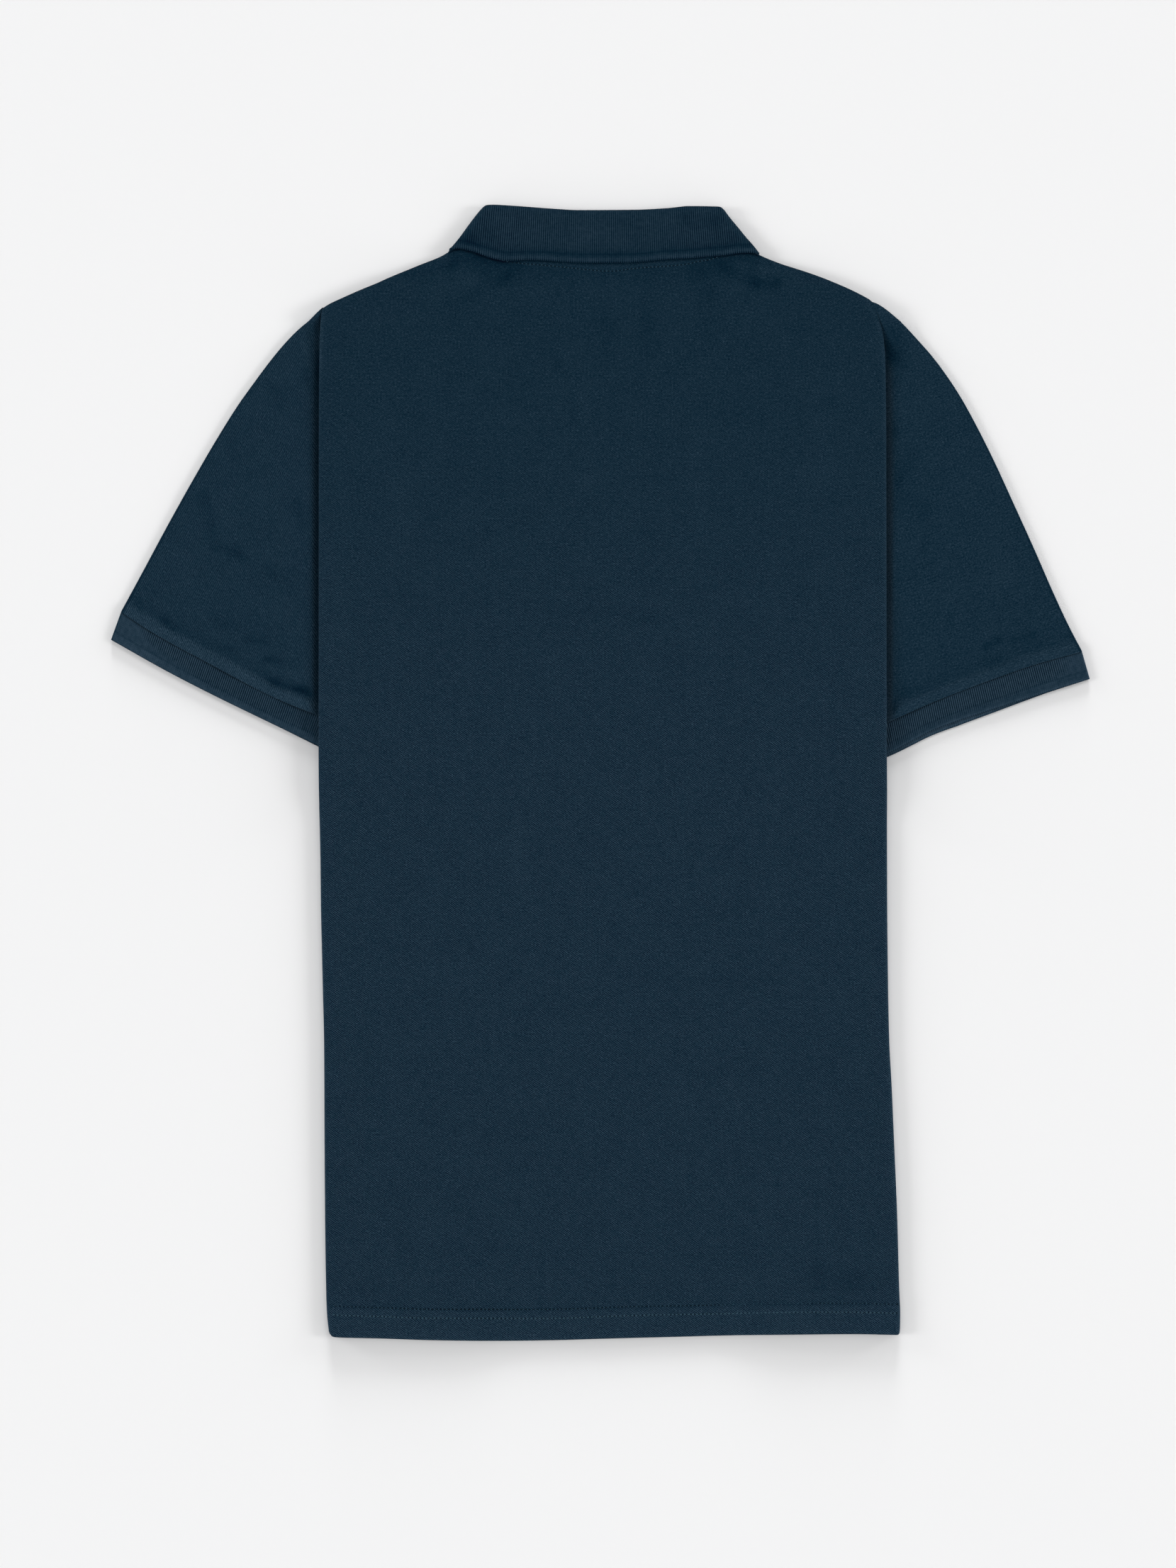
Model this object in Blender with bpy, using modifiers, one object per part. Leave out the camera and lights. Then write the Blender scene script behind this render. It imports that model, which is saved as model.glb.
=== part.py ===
"""Polo shirt laid flat on its front, with its sides turned under, as walls of cloth.

World frame: +Z up, the surface it lies on at z = 0, +Y towards the collar, the origin under the middle
of the outline. Each cut and sewn piece is one object. Sizes and tables are in millimetres.

From the floor up, the body is the front panel and the back panel. Along both sides the two are turned
under together, so four layers lie there, and in the armhole the flat sleeve passes below the four.
"""

import math

import bmesh
import bpy
import numpy as np

MM = 0.001

# ---- Cloth ----
WALL = 1.1                # pique
RIB_WALL = 1.5            # collar knit, its ribs left out
GAP = 0.3                 # between pieces that touch
STEP = WALL + GAP         # from one layer of cloth to the next
STACK_RADIUS = 2.0 * STEP - GAP / 2.0     # of the side fold: half of its four layers
INNER_RADIUS = STEP - GAP / 2.0           # of the front panel's own fold inside it
DRAPE_RUN = 46.0          # the cloth's way down from a raised edge to the floor

# ---- Body ----
HALF_HEIGHT = 380.5       # half of the whole outline
SHOULDER_POINT = 308.0    # height where the shoulder meets the folded side edge
SHOULDER_SLOPE = 0.46
SHOULDER_FLAP = 18.0      # width turned under at the shoulder point
SIDE_FLAP = 60.0          # the same below the armhole
UNDERARM = 55.0           # height of the underarm point
FLAP_LIP = 4.0            # the upper sheet stays level this far past the flap under it
BACK_NECK = 345.0         # height of the neckline at the middle of the back
FRONT_NECK = 270.0        # and of the front

# Folded side edges: distance of each from the middle line, by height.
SIDES = {
    "height": (-380.5, -290.0, -233.0, -147.0, -76.0, 10.0, 308.0),
    "left": (182.0, 184.3, 184.8, 185.7, 187.2, 189.1, 189.0),
    "right": (200.5, 197.6, 195.7, 191.9, 191.7, 191.4, 191.9),
}
# Height of the hem's edge, by distance across (left is negative).
HEM = {
    "across": (-182.0, -113.0, -52.0, 30.0, 109.0, 200.0),
    "height": (-376.6, -379.8, -380.4, -378.2, -376.3, -376.6),
}
# Shoulder line of each side, from the neck point out to the shoulder point.
SHOULDER = {
    "left": {
        "across": (91.5, 99.0, 104.5, 121.6, 148.2, 174.8, 189.0),
        "height": (352.6, 349.1, 347.4, 340.1, 328.7, 317.3, 308.6),
    },
    "right": {
        "across": (92.0, 101.0, 107.0, 123.5, 155.3, 179.1, 191.9),
        "height": (351.6, 347.4, 345.2, 340.1, 328.7, 317.3, 309.3),
    },
}
# How high the side stack lies, by height up the shirt: the cuff and the sleeve pass beneath it.
STACK_LIFT = {
    "height": (-34.0, -4.0, 50.0, 72.0),
    "lift": (0.0, 3.3, 3.3, 2.8),
}

# ---- Placket and buttons ----
PLACKET_HALF = 15.0
PLACKET_END = 125.0
PLACKET_TOP = 269.0
BUTTON_ROWS = (256.0, 203.0, 150.0)
BUTTON_RADIUS = 5.75
BUTTON_THICK = 2.2
BUTTON_RIM = 0.4

# ---- Sleeves and cuffs, one column set for each side ----
SLEEVE_TOP = {
    "left": {
        "across": (172.0, 196.6, 213.7, 242.2, 281.7, 320.4),
        "height": (311.0, 302.1, 285.0, 247.0, 180.5, 107.6),
    },
    "right": {
        "across": (173.0, 200.9, 216.6, 243.7, 276.5, 322.2),
        "height": (311.5, 302.1, 285.0, 256.5, 180.5, 80.5),
    },
}
# Seam between sleeve and cuff, from the outer edge to the underarm end.
CUFF_SEAM = {
    "left": {
        "across": (320.4, 296.9, 259.8, 221.8, 200.5, 178.0),
        "height": (107.6, 92.8, 72.7, 52.6, 43.5, 35.0),
    },
    "right": {
        "across": (322.2, 291.7, 262.7, 222.8, 192.9, 178.0),
        "height": (80.5, 73.2, 63.2, 47.9, 34.7, 28.0),
    },
}
# The cuff's lower edge along the same way, and how far its under layer shows past the upper one.
CUFF_EDGE = {
    "left": {
        "across": (327.8, 292.1, 262.4, 221.8, 196.2, 185.0),
        "height": (89.0, 68.9, 53.5, 33.7, 21.4, 16.0),
        "peek": (0.0, 0.0, 0.0, 0.0, 1.2, 3.0),
    },
    "right": {
        "across": (327.8, 295.5, 266.5, 222.8, 193.8, 182.0),
        "height": (62.7, 52.8, 43.6, 28.5, 13.3, 8.0),
        "peek": (0.0, 1.4, 3.0, 3.2, 2.6, 2.6),
    },
}
CUFF_WIDTH = 18.0
CUFF_BAND = 4.0           # plainer band along its lower edge
CUFF_SEAM_GAP = 0.42      # measured along the cuff, which runs askew to its seam
CUFF_RIB_PITCH = 1.44
CUFF_RIB_HEIGHT = 0.4
RIB_FADES = (0.1, 0.03)   # shares of the cuff over which the ribs die away at its outer and inner end

# ---- Collar ----
# Across the back, left to right: the fold at the top, and the leaf's lower edge.
COLLAR_FOLD = {
    "across": (-80.4, -75.0, -45.0, -15.0, 22.0, 62.0, 78.0, 82.0),
    "height": (373.4, 380.2, 378.6, 376.8, 376.8, 379.4, 379.0, 373.4),
}
LEAF_EDGE = {
    "across": (-98.2, -93.0, -79.0, -60.0, -11.0, 16.0, 49.0, 70.0, 94.0, 104.2),
    "height": (348.8, 350.4, 347.2, 343.4, 342.0, 341.6, 343.4, 346.3, 348.7, 346.0),
}
LEAF_WIDTH = 33.0
LEAF_BAND = 6.0           # plainer band along the leaf's lower edge
COLLAR_MIDDLE = 2.0 * RIB_WALL + 1.5 * GAP    # its four layers in the front lie round this height
FRONT_FOLD = 284.0        # height of the fold at the middle of the front
FRONT_END = 0.8           # distance of each front end from the middle line
SEAM_INSET = (1.6, 1.2)   # neck seam at the side folds, in from the neck point and above it
COLLAR_POINT = (48.0, 229.0)
COLLAR_RIB_PITCH = 1.45
COLLAR_RIB_HEIGHT = 0.35
RIBS_TO_FULL = 6          # ribs over which they rise at each end of the back

# Where cloth lies raised over something: fully out to "half" each side of the middle line and above
# "full" up the shirt, then running out to nothing "fall" further across, and down at "none".
RAISED = {
    "over": ("collar leaves", "buttons", "neck"),
    "half": (118.0, 22.0, 112.0),
    "fall": (DRAPE_RUN, 56.0, 30.0),
    "full": (208.0, 130.0, 255.0),
    "none": (162.0, 60.0, 190.0),
}
BUTTON_REACH = (9.0, 23.0)    # cloth round a button: raised within the first, flat past the second
NECK_EASING = (270.0, 325.0)  # the back comes down from the buttons to the neckline between these

CLOTH_COLOUR = (0.0098, 0.0257, 0.0437, 1.0)
RIB_COLOUR = (0.0104, 0.0268, 0.0452, 1.0)
BUTTON_COLOUR = (0.012, 0.024, 0.038, 1.0)

# ---- Mesh columns and rows ----
CENTRE_SHARES = (0.0, 0.22, 0.45, 0.62, 0.78, 0.9)    # from the placket to where the sheet rises
FALL_SHARES = (0.0, 0.33, 0.67, 1.0)                  # up the rise
FOLD_ANGLES = (0.0, 45.0, 90.0, 135.0)                # round the side fold
FLAP_SHARES = (0.0, 0.5, 1.0)
SLOT_END = PLACKET_END - GAP
LEVEL_ROWS = (
    -300.0, -233.0, -147.0, -76.0, -34.0, -19.0, -4.0,
    23.0, 50.0, 72.0, 98.0, SLOT_END, 150.0, 173.0, 196.0,
)
FAN_FROM = LEVEL_ROWS[-1]
FAN_SHARES = (0.16, 0.32, 0.48, 0.63, 0.77, 0.9, 1.0)  # from the last level row to the top edge
SLEEVE_SHARES = (0.0, 0.09, 0.18, 0.3, 0.42, 0.54, 0.66, 0.78, 0.88, 0.955, 1.0)
LAYER_SHARES = tuple(np.linspace(0.0, 1.0, 11))
END_ANGLES = (45.0, 90.0, 135.0)
COLLAR_FRONT_SHARES = (0.0, 0.3, 0.6, 0.85)
COLLAR_TURNS = (180.0, 150.0, 120.0, 90.0, 60.0, 30.0, 0.0)
COLLAR_PLAIN_STATIONS = 11
COLLAR_END_PLACE = 0.2    # share of a collar row that each front half takes
HAIRPIN_ANGLES = (90.0, 50.0, 0.0, -50.0, -90.0)
NEAR_FOLD = 0.08
SEAM_BLEND = 0.06         # share of the back over which the neck seam leaves the side fold
PLACKET_COLUMNS = 5
PLACKET_ROWS = 19
BUTTON_SIDES = 20


# ---- Small helpers ----
def look_up(table, of, where):
    """A table's column at a place up or across it, along straight lines."""
    by = "height" if of in ("left", "right", "lift") else "across"
    return float(np.interp(where, table[by], table[of]))


def ease(part):
    """From 0 to 1 with level ends."""
    part = min(1.0, max(0.0, part))
    return part * part * (3.0 - 2.0 * part)


def unit(vector):
    return vector / np.hypot(*vector)


def along_curve(table, share):
    """A plan point of a table's polyline, by share of its length."""
    places = np.column_stack([table["across"], table["height"]])
    run = np.concatenate([[0.0], np.cumsum(np.hypot(*np.diff(places, axis=0).T))])
    return np.array([np.interp(share * run[-1], run, column) for column in places.T])


def curve_length(table):
    return float(np.hypot(np.diff(table["across"]), np.diff(table["height"])).sum())


def clear_scene():
    for item in list(bpy.data.objects):
        bpy.data.objects.remove(item, do_unlink=True)


def material(name, colour, roughness):
    made = bpy.data.materials.new(name)
    made.use_nodes = True
    shader = made.node_tree.nodes["Principled BSDF"]
    shader.inputs["Base Color"].default_value = colour
    shader.inputs["Roughness"].default_value = roughness
    shader.inputs["Metallic"].default_value = 0.0
    return made


def add_object(name, mesh, finish):
    """Puts a mesh in the shirt's collection, with its material."""
    mesh.shade_smooth()
    mesh.materials.append(finish)
    made = bpy.data.objects.new(name, mesh)
    COLLECTION.objects.link(made)
    return made


def mesh_of(name, points, faces):
    """A mesh in metres from points in millimetres."""
    mesh = bpy.data.meshes.new(name)
    mesh.from_pydata([tuple(MM * size for size in point) for point in points], [], faces)
    return mesh


# ---- Two ways of making a wall of cloth ----
def sheet(name, grid, finish, around=False, cut=None):
    """An open surface through a grid of points, its outer side, made a wall inwards by Solidify.

    around joins each row's end to its start, and cut(row, column) leaves a face out.
    """
    wide = len(grid[0])
    faces = []
    for row in range(len(grid) - 1):
        for column in range(wide if around else wide - 1):
            if cut and cut(row, column):
                continue
            right = (column + 1) % wide
            low, high = row * wide, (row + 1) * wide
            faces.append((low + column, low + right, high + right, high + column))
    mesh = mesh_of(name, [point for row in grid for point in row], faces)
    build = bmesh.new()
    build.from_mesh(mesh)
    loose = [vertex for vertex in build.verts if not vertex.link_faces]
    bmesh.ops.delete(build, geom=loose, context="VERTS")
    build.to_mesh(mesh)
    build.free()
    made = add_object(name, mesh, finish)
    solid = made.modifiers.new("Wall", "SOLIDIFY")
    solid.thickness = MM * WALL
    solid.offset = -1.0
    return made


def strip_between(low, high):
    """Faces between two rows of (index, place along): quads if they match in number, else fans."""
    if len(low) == len(high):
        corners = zip(low, low[1:], high[1:], high)
        return [tuple(corner[0] for corner in quad) for quad in corners]
    faces = []
    i = 0
    j = 0
    while i < len(low) - 1 or j < len(high) - 1:
        next_low = low[i + 1][1] if i < len(low) - 1 else math.inf
        next_high = high[j + 1][1] if j < len(high) - 1 else math.inf
        if next_low <= next_high:
            faces.append((low[i][0], low[i + 1][0], high[j][0]))
            i += 1
        else:
            faces.append((low[i][0], high[j + 1][0], high[j][0]))
            j += 1
    return faces


def wall(name, rows, finish, ring):
    """A closed wall of knit, ribbed outside and plain inside: a loft between rows unlike in number.

    The rows, lists of (place along, point), go once round the wall's section: the outside's first,
    then as many of the inside's. A ring's rows close on themselves, and a strip gets two ends.
    """
    points = []
    numbered = []
    for row in rows:
        start = len(points)
        points += [point for _, point in row]
        entries = [(start + n, place) for n, (place, _) in enumerate(row)]
        numbered.append(entries + [(start, 1.0)] if ring else entries)
    faces = []
    for low, high in zip(numbered, numbered[1:] + numbered[:1]):
        faces += strip_between(low, high)
    if not ring:
        facing = numbered[::-1]
        for n in range(len(numbered) // 2 - 1):
            for end in (0, -1):
                corners = (numbered[n], numbered[n + 1], facing[n + 1], facing[n])
                faces.append(tuple(row[end][0] for row in corners))
    mesh = mesh_of(name, points, faces)
    build = bmesh.new()
    build.from_mesh(mesh)
    bmesh.ops.recalc_face_normals(build, faces=build.faces)
    build.to_mesh(mesh)
    build.free()
    return add_object(name, mesh, finish)


# ---- The body's outline ----
def flap(height):
    """Width turned under: up to the side seam, and above the underarm up to the armhole's curve."""
    up = (SHOULDER_POINT - height) / (SHOULDER_POINT - UNDERARM)
    return SHOULDER_FLAP + (SIDE_FLAP - SHOULDER_FLAP) * min(1.0, max(0.0, up)) ** 4


def seat(side, height):
    """Where the upper sheet starts down from the flaps beneath it."""
    return look_up(SIDES, side, height) - flap(height) - FLAP_LIP


def shoulder_height(side, across):
    return look_up(SHOULDER[side], "height", across)


def back_top(side, across):
    """The back panel's upper edge: a shallow neckline, then the shoulder."""
    neck = SHOULDER[side]["across"][0]
    if across >= neck:
        return shoulder_height(side, across)
    return BACK_NECK + (shoulder_height(side, neck) - BACK_NECK) * (across / neck) ** 2


def front_top(side, across):
    """The front panel's upper edge: a quarter of an oval, then the shoulder."""
    neck = SHOULDER[side]["across"][0]
    if across >= neck:
        return shoulder_height(side, across)
    deep = math.sqrt(1.0 - (across / neck) ** 2)
    return shoulder_height(side, neck) - (shoulder_height(side, neck) - FRONT_NECK) * deep


# ---- How high the layers lie ----
def raised(over, across, height):
    """A point's share of the raise over one of the things in the table."""
    n = RAISED["over"].index(over)
    beside = ease((abs(across) - RAISED["half"][n]) / RAISED["fall"][n])
    up = ease((height - RAISED["none"][n]) / (RAISED["full"][n] - RAISED["none"][n]))
    return up * (1.0 - beside)


def button_share(across, height):
    near, far = BUTTON_REACH
    away = min(math.hypot(across, height - row) for row in BUTTON_ROWS)
    return 1.0 - ease((away - near) / (far - near))


def front_lift(side, across, height):
    """Height of the front panel's underside, over the flaps, the collar's leaves and the buttons."""
    stack = 2.0 * STEP + look_up(STACK_LIFT, "lift", height)
    over_flaps = stack * (1.0 - ease((seat(side, height) - across) / DRAPE_RUN))
    over_leaves = (RIB_WALL + GAP) * raised("collar leaves", across, height)
    over_buttons = (BUTTON_THICK + GAP) * button_share(across, height)
    return max(over_flaps, over_leaves, over_buttons)


def back_lift(side, across, height):
    """Height of the back panel's underside: one swell over the placket, then down to the neckline."""
    at_neck = COLLAR_MIDDLE + GAP / 2.0
    swell = 2.0 * STEP + BUTTON_THICK + 2.0 * GAP
    first, last = NECK_EASING
    swell += (at_neck - swell) * ease((height - first) / (last - first))
    return max(
        front_lift(side, across, height) + STEP,
        swell * raised("buttons", across, height),
        at_neck * raised("neck", across, height),
    )


# ---- Back and front panels ----
def panel_row(side, base, share, top_of, lift_of, radius):
    """Half a row of a panel's outer side: from the placket out, round the fold and in to the seam.

    A row lies level at its base, and one with a share climbs that share of the way to the top edge.
    """
    sign = -1.0 if side == "left" else 1.0
    nominal = base + share * (SHOULDER_POINT - FAN_FROM)
    start = PLACKET_HALF + GAP
    fall = seat(side, nominal) - DRAPE_RUN
    reach = look_up(SIDES, side, nominal) - STACK_RADIUS

    def climb(top):
        return base + share * (top - FAN_FROM)

    points = []
    columns = [start + part * (fall - start) for part in CENTRE_SHARES]
    columns += [fall + part * DRAPE_RUN for part in FALL_SHARES]
    for across in columns:
        height = climb(top_of(side, across))
        points.append((sign * across, height, lift_of(side, across, height) + WALL))
    for angle in FOLD_ANGLES:
        turn = math.radians(angle)
        out = reach + radius * math.sin(turn)
        height = climb(top_of(side, out))
        middle = look_up(STACK_LIFT, "lift", height) + STACK_RADIUS
        points.append((sign * out, height, middle + radius * math.cos(turn)))
    for part in FLAP_SHARES:
        back_in = part * (flap(nominal) - STACK_RADIUS)
        height = climb(top_of(side, reach) - SHOULDER_SLOPE * (back_in + 2.0 * STACK_RADIUS))
        bottom = look_up(STACK_LIFT, "lift", height) + STACK_RADIUS - radius
        points.append((sign * (reach - back_in), height, bottom))
    return points


def panel_grid(top_of, lift_of, radius):
    """A panel's rows, hem first, each from the left seam to the right one."""
    rows = [(height, 0.0) for height in (-HALF_HEIGHT,) + LEVEL_ROWS]
    rows += [(FAN_FROM, share) for share in FAN_SHARES]
    grid = []
    for base, share in rows:
        left = panel_row("left", base, share, top_of, lift_of, radius)
        right = panel_row("right", base, share, top_of, lift_of, radius)
        grid.append(left[::-1] + right)
    grid[0] = [(x, look_up(HEM, "height", x), z) for x, _, z in grid[0]]
    return grid


def make_back(finish):
    return sheet("back", panel_grid(back_top, back_lift, STACK_RADIUS), finish)


def make_front(finish):
    """The front panel, cut open for the placket."""
    grid = panel_grid(front_top, front_lift, INNER_RADIUS)
    middle = len(grid[0]) // 2 - 1
    first_open = 1 + LEVEL_ROWS.index(SLOT_END)
    return sheet("front", grid, finish, cut=lambda row, column: column == middle and row >= first_open)


# ---- Placket and buttons ----
def make_placket(name, above, finish):
    """A strip along the front's opening, lying with the front panel or one layer above it."""
    grid = []
    for height in np.linspace(PLACKET_END, PLACKET_TOP, PLACKET_ROWS):
        row = []
        for across in np.linspace(-PLACKET_HALF, PLACKET_HALF, PLACKET_COLUMNS):
            row.append((across, height, front_lift("left", abs(across), height) + above + WALL))
        grid.append(row)
    return sheet(name, grid, finish)


def make_button(name, height, finish):
    build = bmesh.new()
    bmesh.ops.create_cone(
        build, cap_ends=True, segments=BUTTON_SIDES,
        radius1=MM * BUTTON_RADIUS, radius2=MM * BUTTON_RADIUS, depth=MM * BUTTON_THICK,
    )
    bmesh.ops.translate(build, verts=build.verts, vec=(0.0, MM * height, MM * BUTTON_THICK / 2.0))
    mesh = bpy.data.meshes.new(name)
    build.to_mesh(mesh)
    build.free()
    made = add_object(name, mesh, finish)
    bevel = made.modifiers.new("Rim", "BEVEL")
    bevel.width = MM * BUTTON_RIM
    bevel.segments = 1
    bevel.limit_method = "ANGLE"
    return made


# ---- Flat tubes: sleeves and cuffs ----
def flat_section(sign, plan, upper, inset=0.0, rib=0.0):
    """A row of (place along, point) right round a flat tube: over its upper layer, round its
    underarm end, back along the lower layer and round its outer end.

    plan(share, under) gives the plan points, under going from 0 at the upper layer to 1 at the lower.
    """
    half = (STEP + WALL) / 2.0
    radius = half - inset
    places = [(share, 0.0) for share in upper]
    places += [(1.0, angle) for angle in END_ANGLES]
    places += [(share, 180.0) for share in LAYER_SHARES[::-1]]
    places += [(0.0, 180.0 + angle) for angle in END_ANGLES]
    row = []
    for n, (share, angle) in enumerate(places):
        turn = math.radians(angle)
        place = plan(share, (1.0 - math.cos(turn)) / 2.0)
        height = half + radius * math.cos(turn)
        if share in (0.0, 1.0):
            inward = unit(plan(0.5, 0.5) - place)
            place = place + (half - radius * abs(math.sin(turn))) * inward
        elif n < len(upper):
            fade = ease(share / RIB_FADES[0]) * ease((1.0 - share) / RIB_FADES[1])
            height += rib * fade * (n % 2)
        on_upper = 0.45 * share + 0.05 * angle / 180.0
        on_lower = 0.5 + 0.45 * (1.0 - share) + 0.05 * (angle - 180.0) / 180.0
        along = on_upper if angle < 180.0 else on_lower
        row.append((along, (sign * place[0], place[1], height)))
    return row


def armhole_point(side, share):
    """Down the armhole under the body, from the shoulder to the underarm."""
    top = along_curve(SLEEVE_TOP[side], 0.0)
    height = top[1] + share * (UNDERARM - top[1])
    if share == 0.0:
        return top
    return np.array([look_up(SIDES, side, height) - flap(height), height])


def sleeve_point(side, along, down):
    """A plan point between the sleeve's four edges: along to the cuff, and down to the underarm."""
    top = along_curve(SLEEVE_TOP[side], along)
    arm = armhole_point(side, down)
    seam = along_curve(CUFF_SEAM[side], down)
    shoulder, underarm = armhole_point(side, 0.0), armhole_point(side, 1.0)
    outer, inner = along_curve(CUFF_SEAM[side], 0.0), along_curve(CUFF_SEAM[side], 1.0)
    bottom = underarm + along * (inner - underarm)
    level = (1.0 - down) * top + down * bottom
    upright = (1.0 - along) * arm + along * seam
    corners = (1.0 - down) * ((1.0 - along) * shoulder + along * outer) + down * bottom
    return level + upright - corners


def make_sleeve(side, finish):
    sign = -1.0 if side == "left" else 1.0
    grid = []
    for along in SLEEVE_SHARES:
        row = flat_section(sign, lambda share, under: sleeve_point(side, along, share), LAYER_SHARES)
        grid.append([point for _, point in row])
    if side == "left":
        grid = [row[::-1] for row in grid]
    return sheet("sleeve_" + side, grid, finish, around=True)


def make_cuff(side, finish):
    """A flat ring of rib knit: ribs across the upper layer, plain inside and where it rests."""
    sign = -1.0 if side == "left" else 1.0
    peeks = CUFF_EDGE[side]["peek"]
    length = curve_length(CUFF_SEAM[side])
    margin = (STEP + WALL) / length
    ribs = round((1.0 - 2.0 * margin) * length / CUFF_RIB_PITCH)
    fine = (0.0, *np.linspace(margin, 1.0 - margin, 2 * ribs + 1), 1.0)

    def plan_at(down):
        def plan(share, under):
            seam = along_curve(CUFF_SEAM[side], share)
            low = along_curve(CUFF_EDGE[side], share)
            way = unit(low - seam)
            peek = np.interp(share, np.linspace(0.0, 1.0, len(peeks)), peeks)
            first = seam + CUFF_SEAM_GAP * way
            return first + down * (low - first + peek * under * way)
        return plan

    rows = [
        flat_section(sign, plan_at(0.0), fine, rib=CUFF_RIB_HEIGHT),
        flat_section(sign, plan_at(1.0 - CUFF_BAND / CUFF_WIDTH), fine, rib=CUFF_RIB_HEIGHT),
        flat_section(sign, plan_at(1.0), fine, rib=CUFF_RIB_HEIGHT / 2.0),
        flat_section(sign, plan_at(1.0), LAYER_SHARES, inset=WALL),
        flat_section(sign, plan_at(0.0), LAYER_SHARES, inset=WALL),
    ]
    return wall("cuff_" + side, rows, finish, ring=True)


# ---- Collar: one strip round the neck, folded over along its top ----
def collar_half(side):
    """Stations from one front end to that side's fold, as (turn, fold, leaf edge, neck seam, out).

    turn is 180 degrees in front and falls to 0 behind, and out is the plan way out of the side fold.
    """
    sign = -1.0 if side == "left" else 1.0
    end = 0 if side == "left" else -1
    neck = SHOULDER[side]["across"][0]
    fold_side = np.array([COLLAR_FOLD["across"][end], COLLAR_FOLD["height"][end]])
    leaf_side = np.array([LEAF_EDGE["across"][end], LEAF_EDGE["height"][end]])
    seam_side = np.array([sign * (neck - SEAM_INSET[0]), shoulder_height(side, neck) + SEAM_INSET[1]])
    fold_front = np.array([sign * FRONT_END, FRONT_FOLD])
    leaf_front = np.array([sign * COLLAR_POINT[0], COLLAR_POINT[1]])
    seam_front = np.array([sign * FRONT_END, FRONT_NECK + 2.0 * GAP])
    down = unit(leaf_side - fold_side)
    out = sign * np.array([-down[1], down[0]])
    half = []
    for share in COLLAR_FRONT_SHARES:
        turn = math.radians(90.0 * share)
        oval = np.array([math.sin(turn), 1.0 - math.cos(turn)])
        fold = fold_front + oval * (fold_side - fold_front)
        leaf = leaf_front + share * (leaf_side - leaf_front)
        seam = seam_front + oval * (seam_side - seam_front)
        half.append((180.0, fold, leaf, seam, out))
    half += [(turn, fold_side, leaf_side, seam_side, out) for turn in COLLAR_TURNS]
    return half


def collar_back(first, last, count):
    """Stations across the back, evenly between the two side folds."""
    _, fold_first, leaf_first, seam_first, out_first = first
    _, fold_last, leaf_last, seam_last, out_last = last
    stations = []
    for share in np.linspace(0.0, 1.0, count + 2)[1:-1]:
        fold = fold_first + share * (fold_last - fold_first)
        leaf = leaf_first + share * (leaf_last - leaf_first)
        seam = seam_first + share * (seam_last - seam_first)
        fold[1] = look_up(COLLAR_FOLD, "height", fold[0])
        leaf[1] = look_up(LEAF_EDGE, "height", leaf[0])
        neckline = back_top("left" if seam[0] < 0.0 else "right", abs(seam[0])) + GAP
        seam[1] += ease(min(share, 1.0 - share) / SEAM_BLEND) * (neckline - seam[1])
        stations.append((0.0, fold, leaf, seam, out_first + share * (out_last - out_first)))
    return stations


def collar_row(count, toward, share, away, over=0.0, rib=0.0):
    """One row of (place along, point) round the neck, with this many stations across the back.

    It lies at this share of the way from the fold toward the "leaf" edge or the neck "seam", this
    far away from the collar's middle height, and reaches over the fold by the last length.
    """
    left, right = collar_half("left"), collar_half("right")
    back = collar_back(left[-1], right[-1], count)
    ends = np.linspace(0.0, COLLAR_END_PLACE, len(left))
    middles = np.linspace(COLLAR_END_PLACE, 1.0 - COLLAR_END_PLACE, count + 2)[1:-1]
    places = [*ends, *middles, *(1.0 - ends[::-1])]
    row = []
    for number, (turn, fold, leaf, seam, out) in enumerate(left + back + right[::-1]):
        goal = leaf if toward == "leaf" else seam
        rise = unit(fold - goal)
        base = fold - (RIB_WALL + GAP / 2.0) * rise
        distance = away
        behind = number - len(left)
        if 0 <= behind < count:
            fade = ease(min(behind, count - 1 - behind) / (2.0 * RIBS_TO_FULL))
            distance += rib * fade * (behind % 2)
        angle = math.radians(turn)
        place = base + share * (goal - base) + over * rise + distance * math.sin(angle) * out
        height = COLLAR_MIDDLE + distance * math.cos(angle)
        row.append((places[number], (place[0], place[1], height)))
    return row


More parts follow.
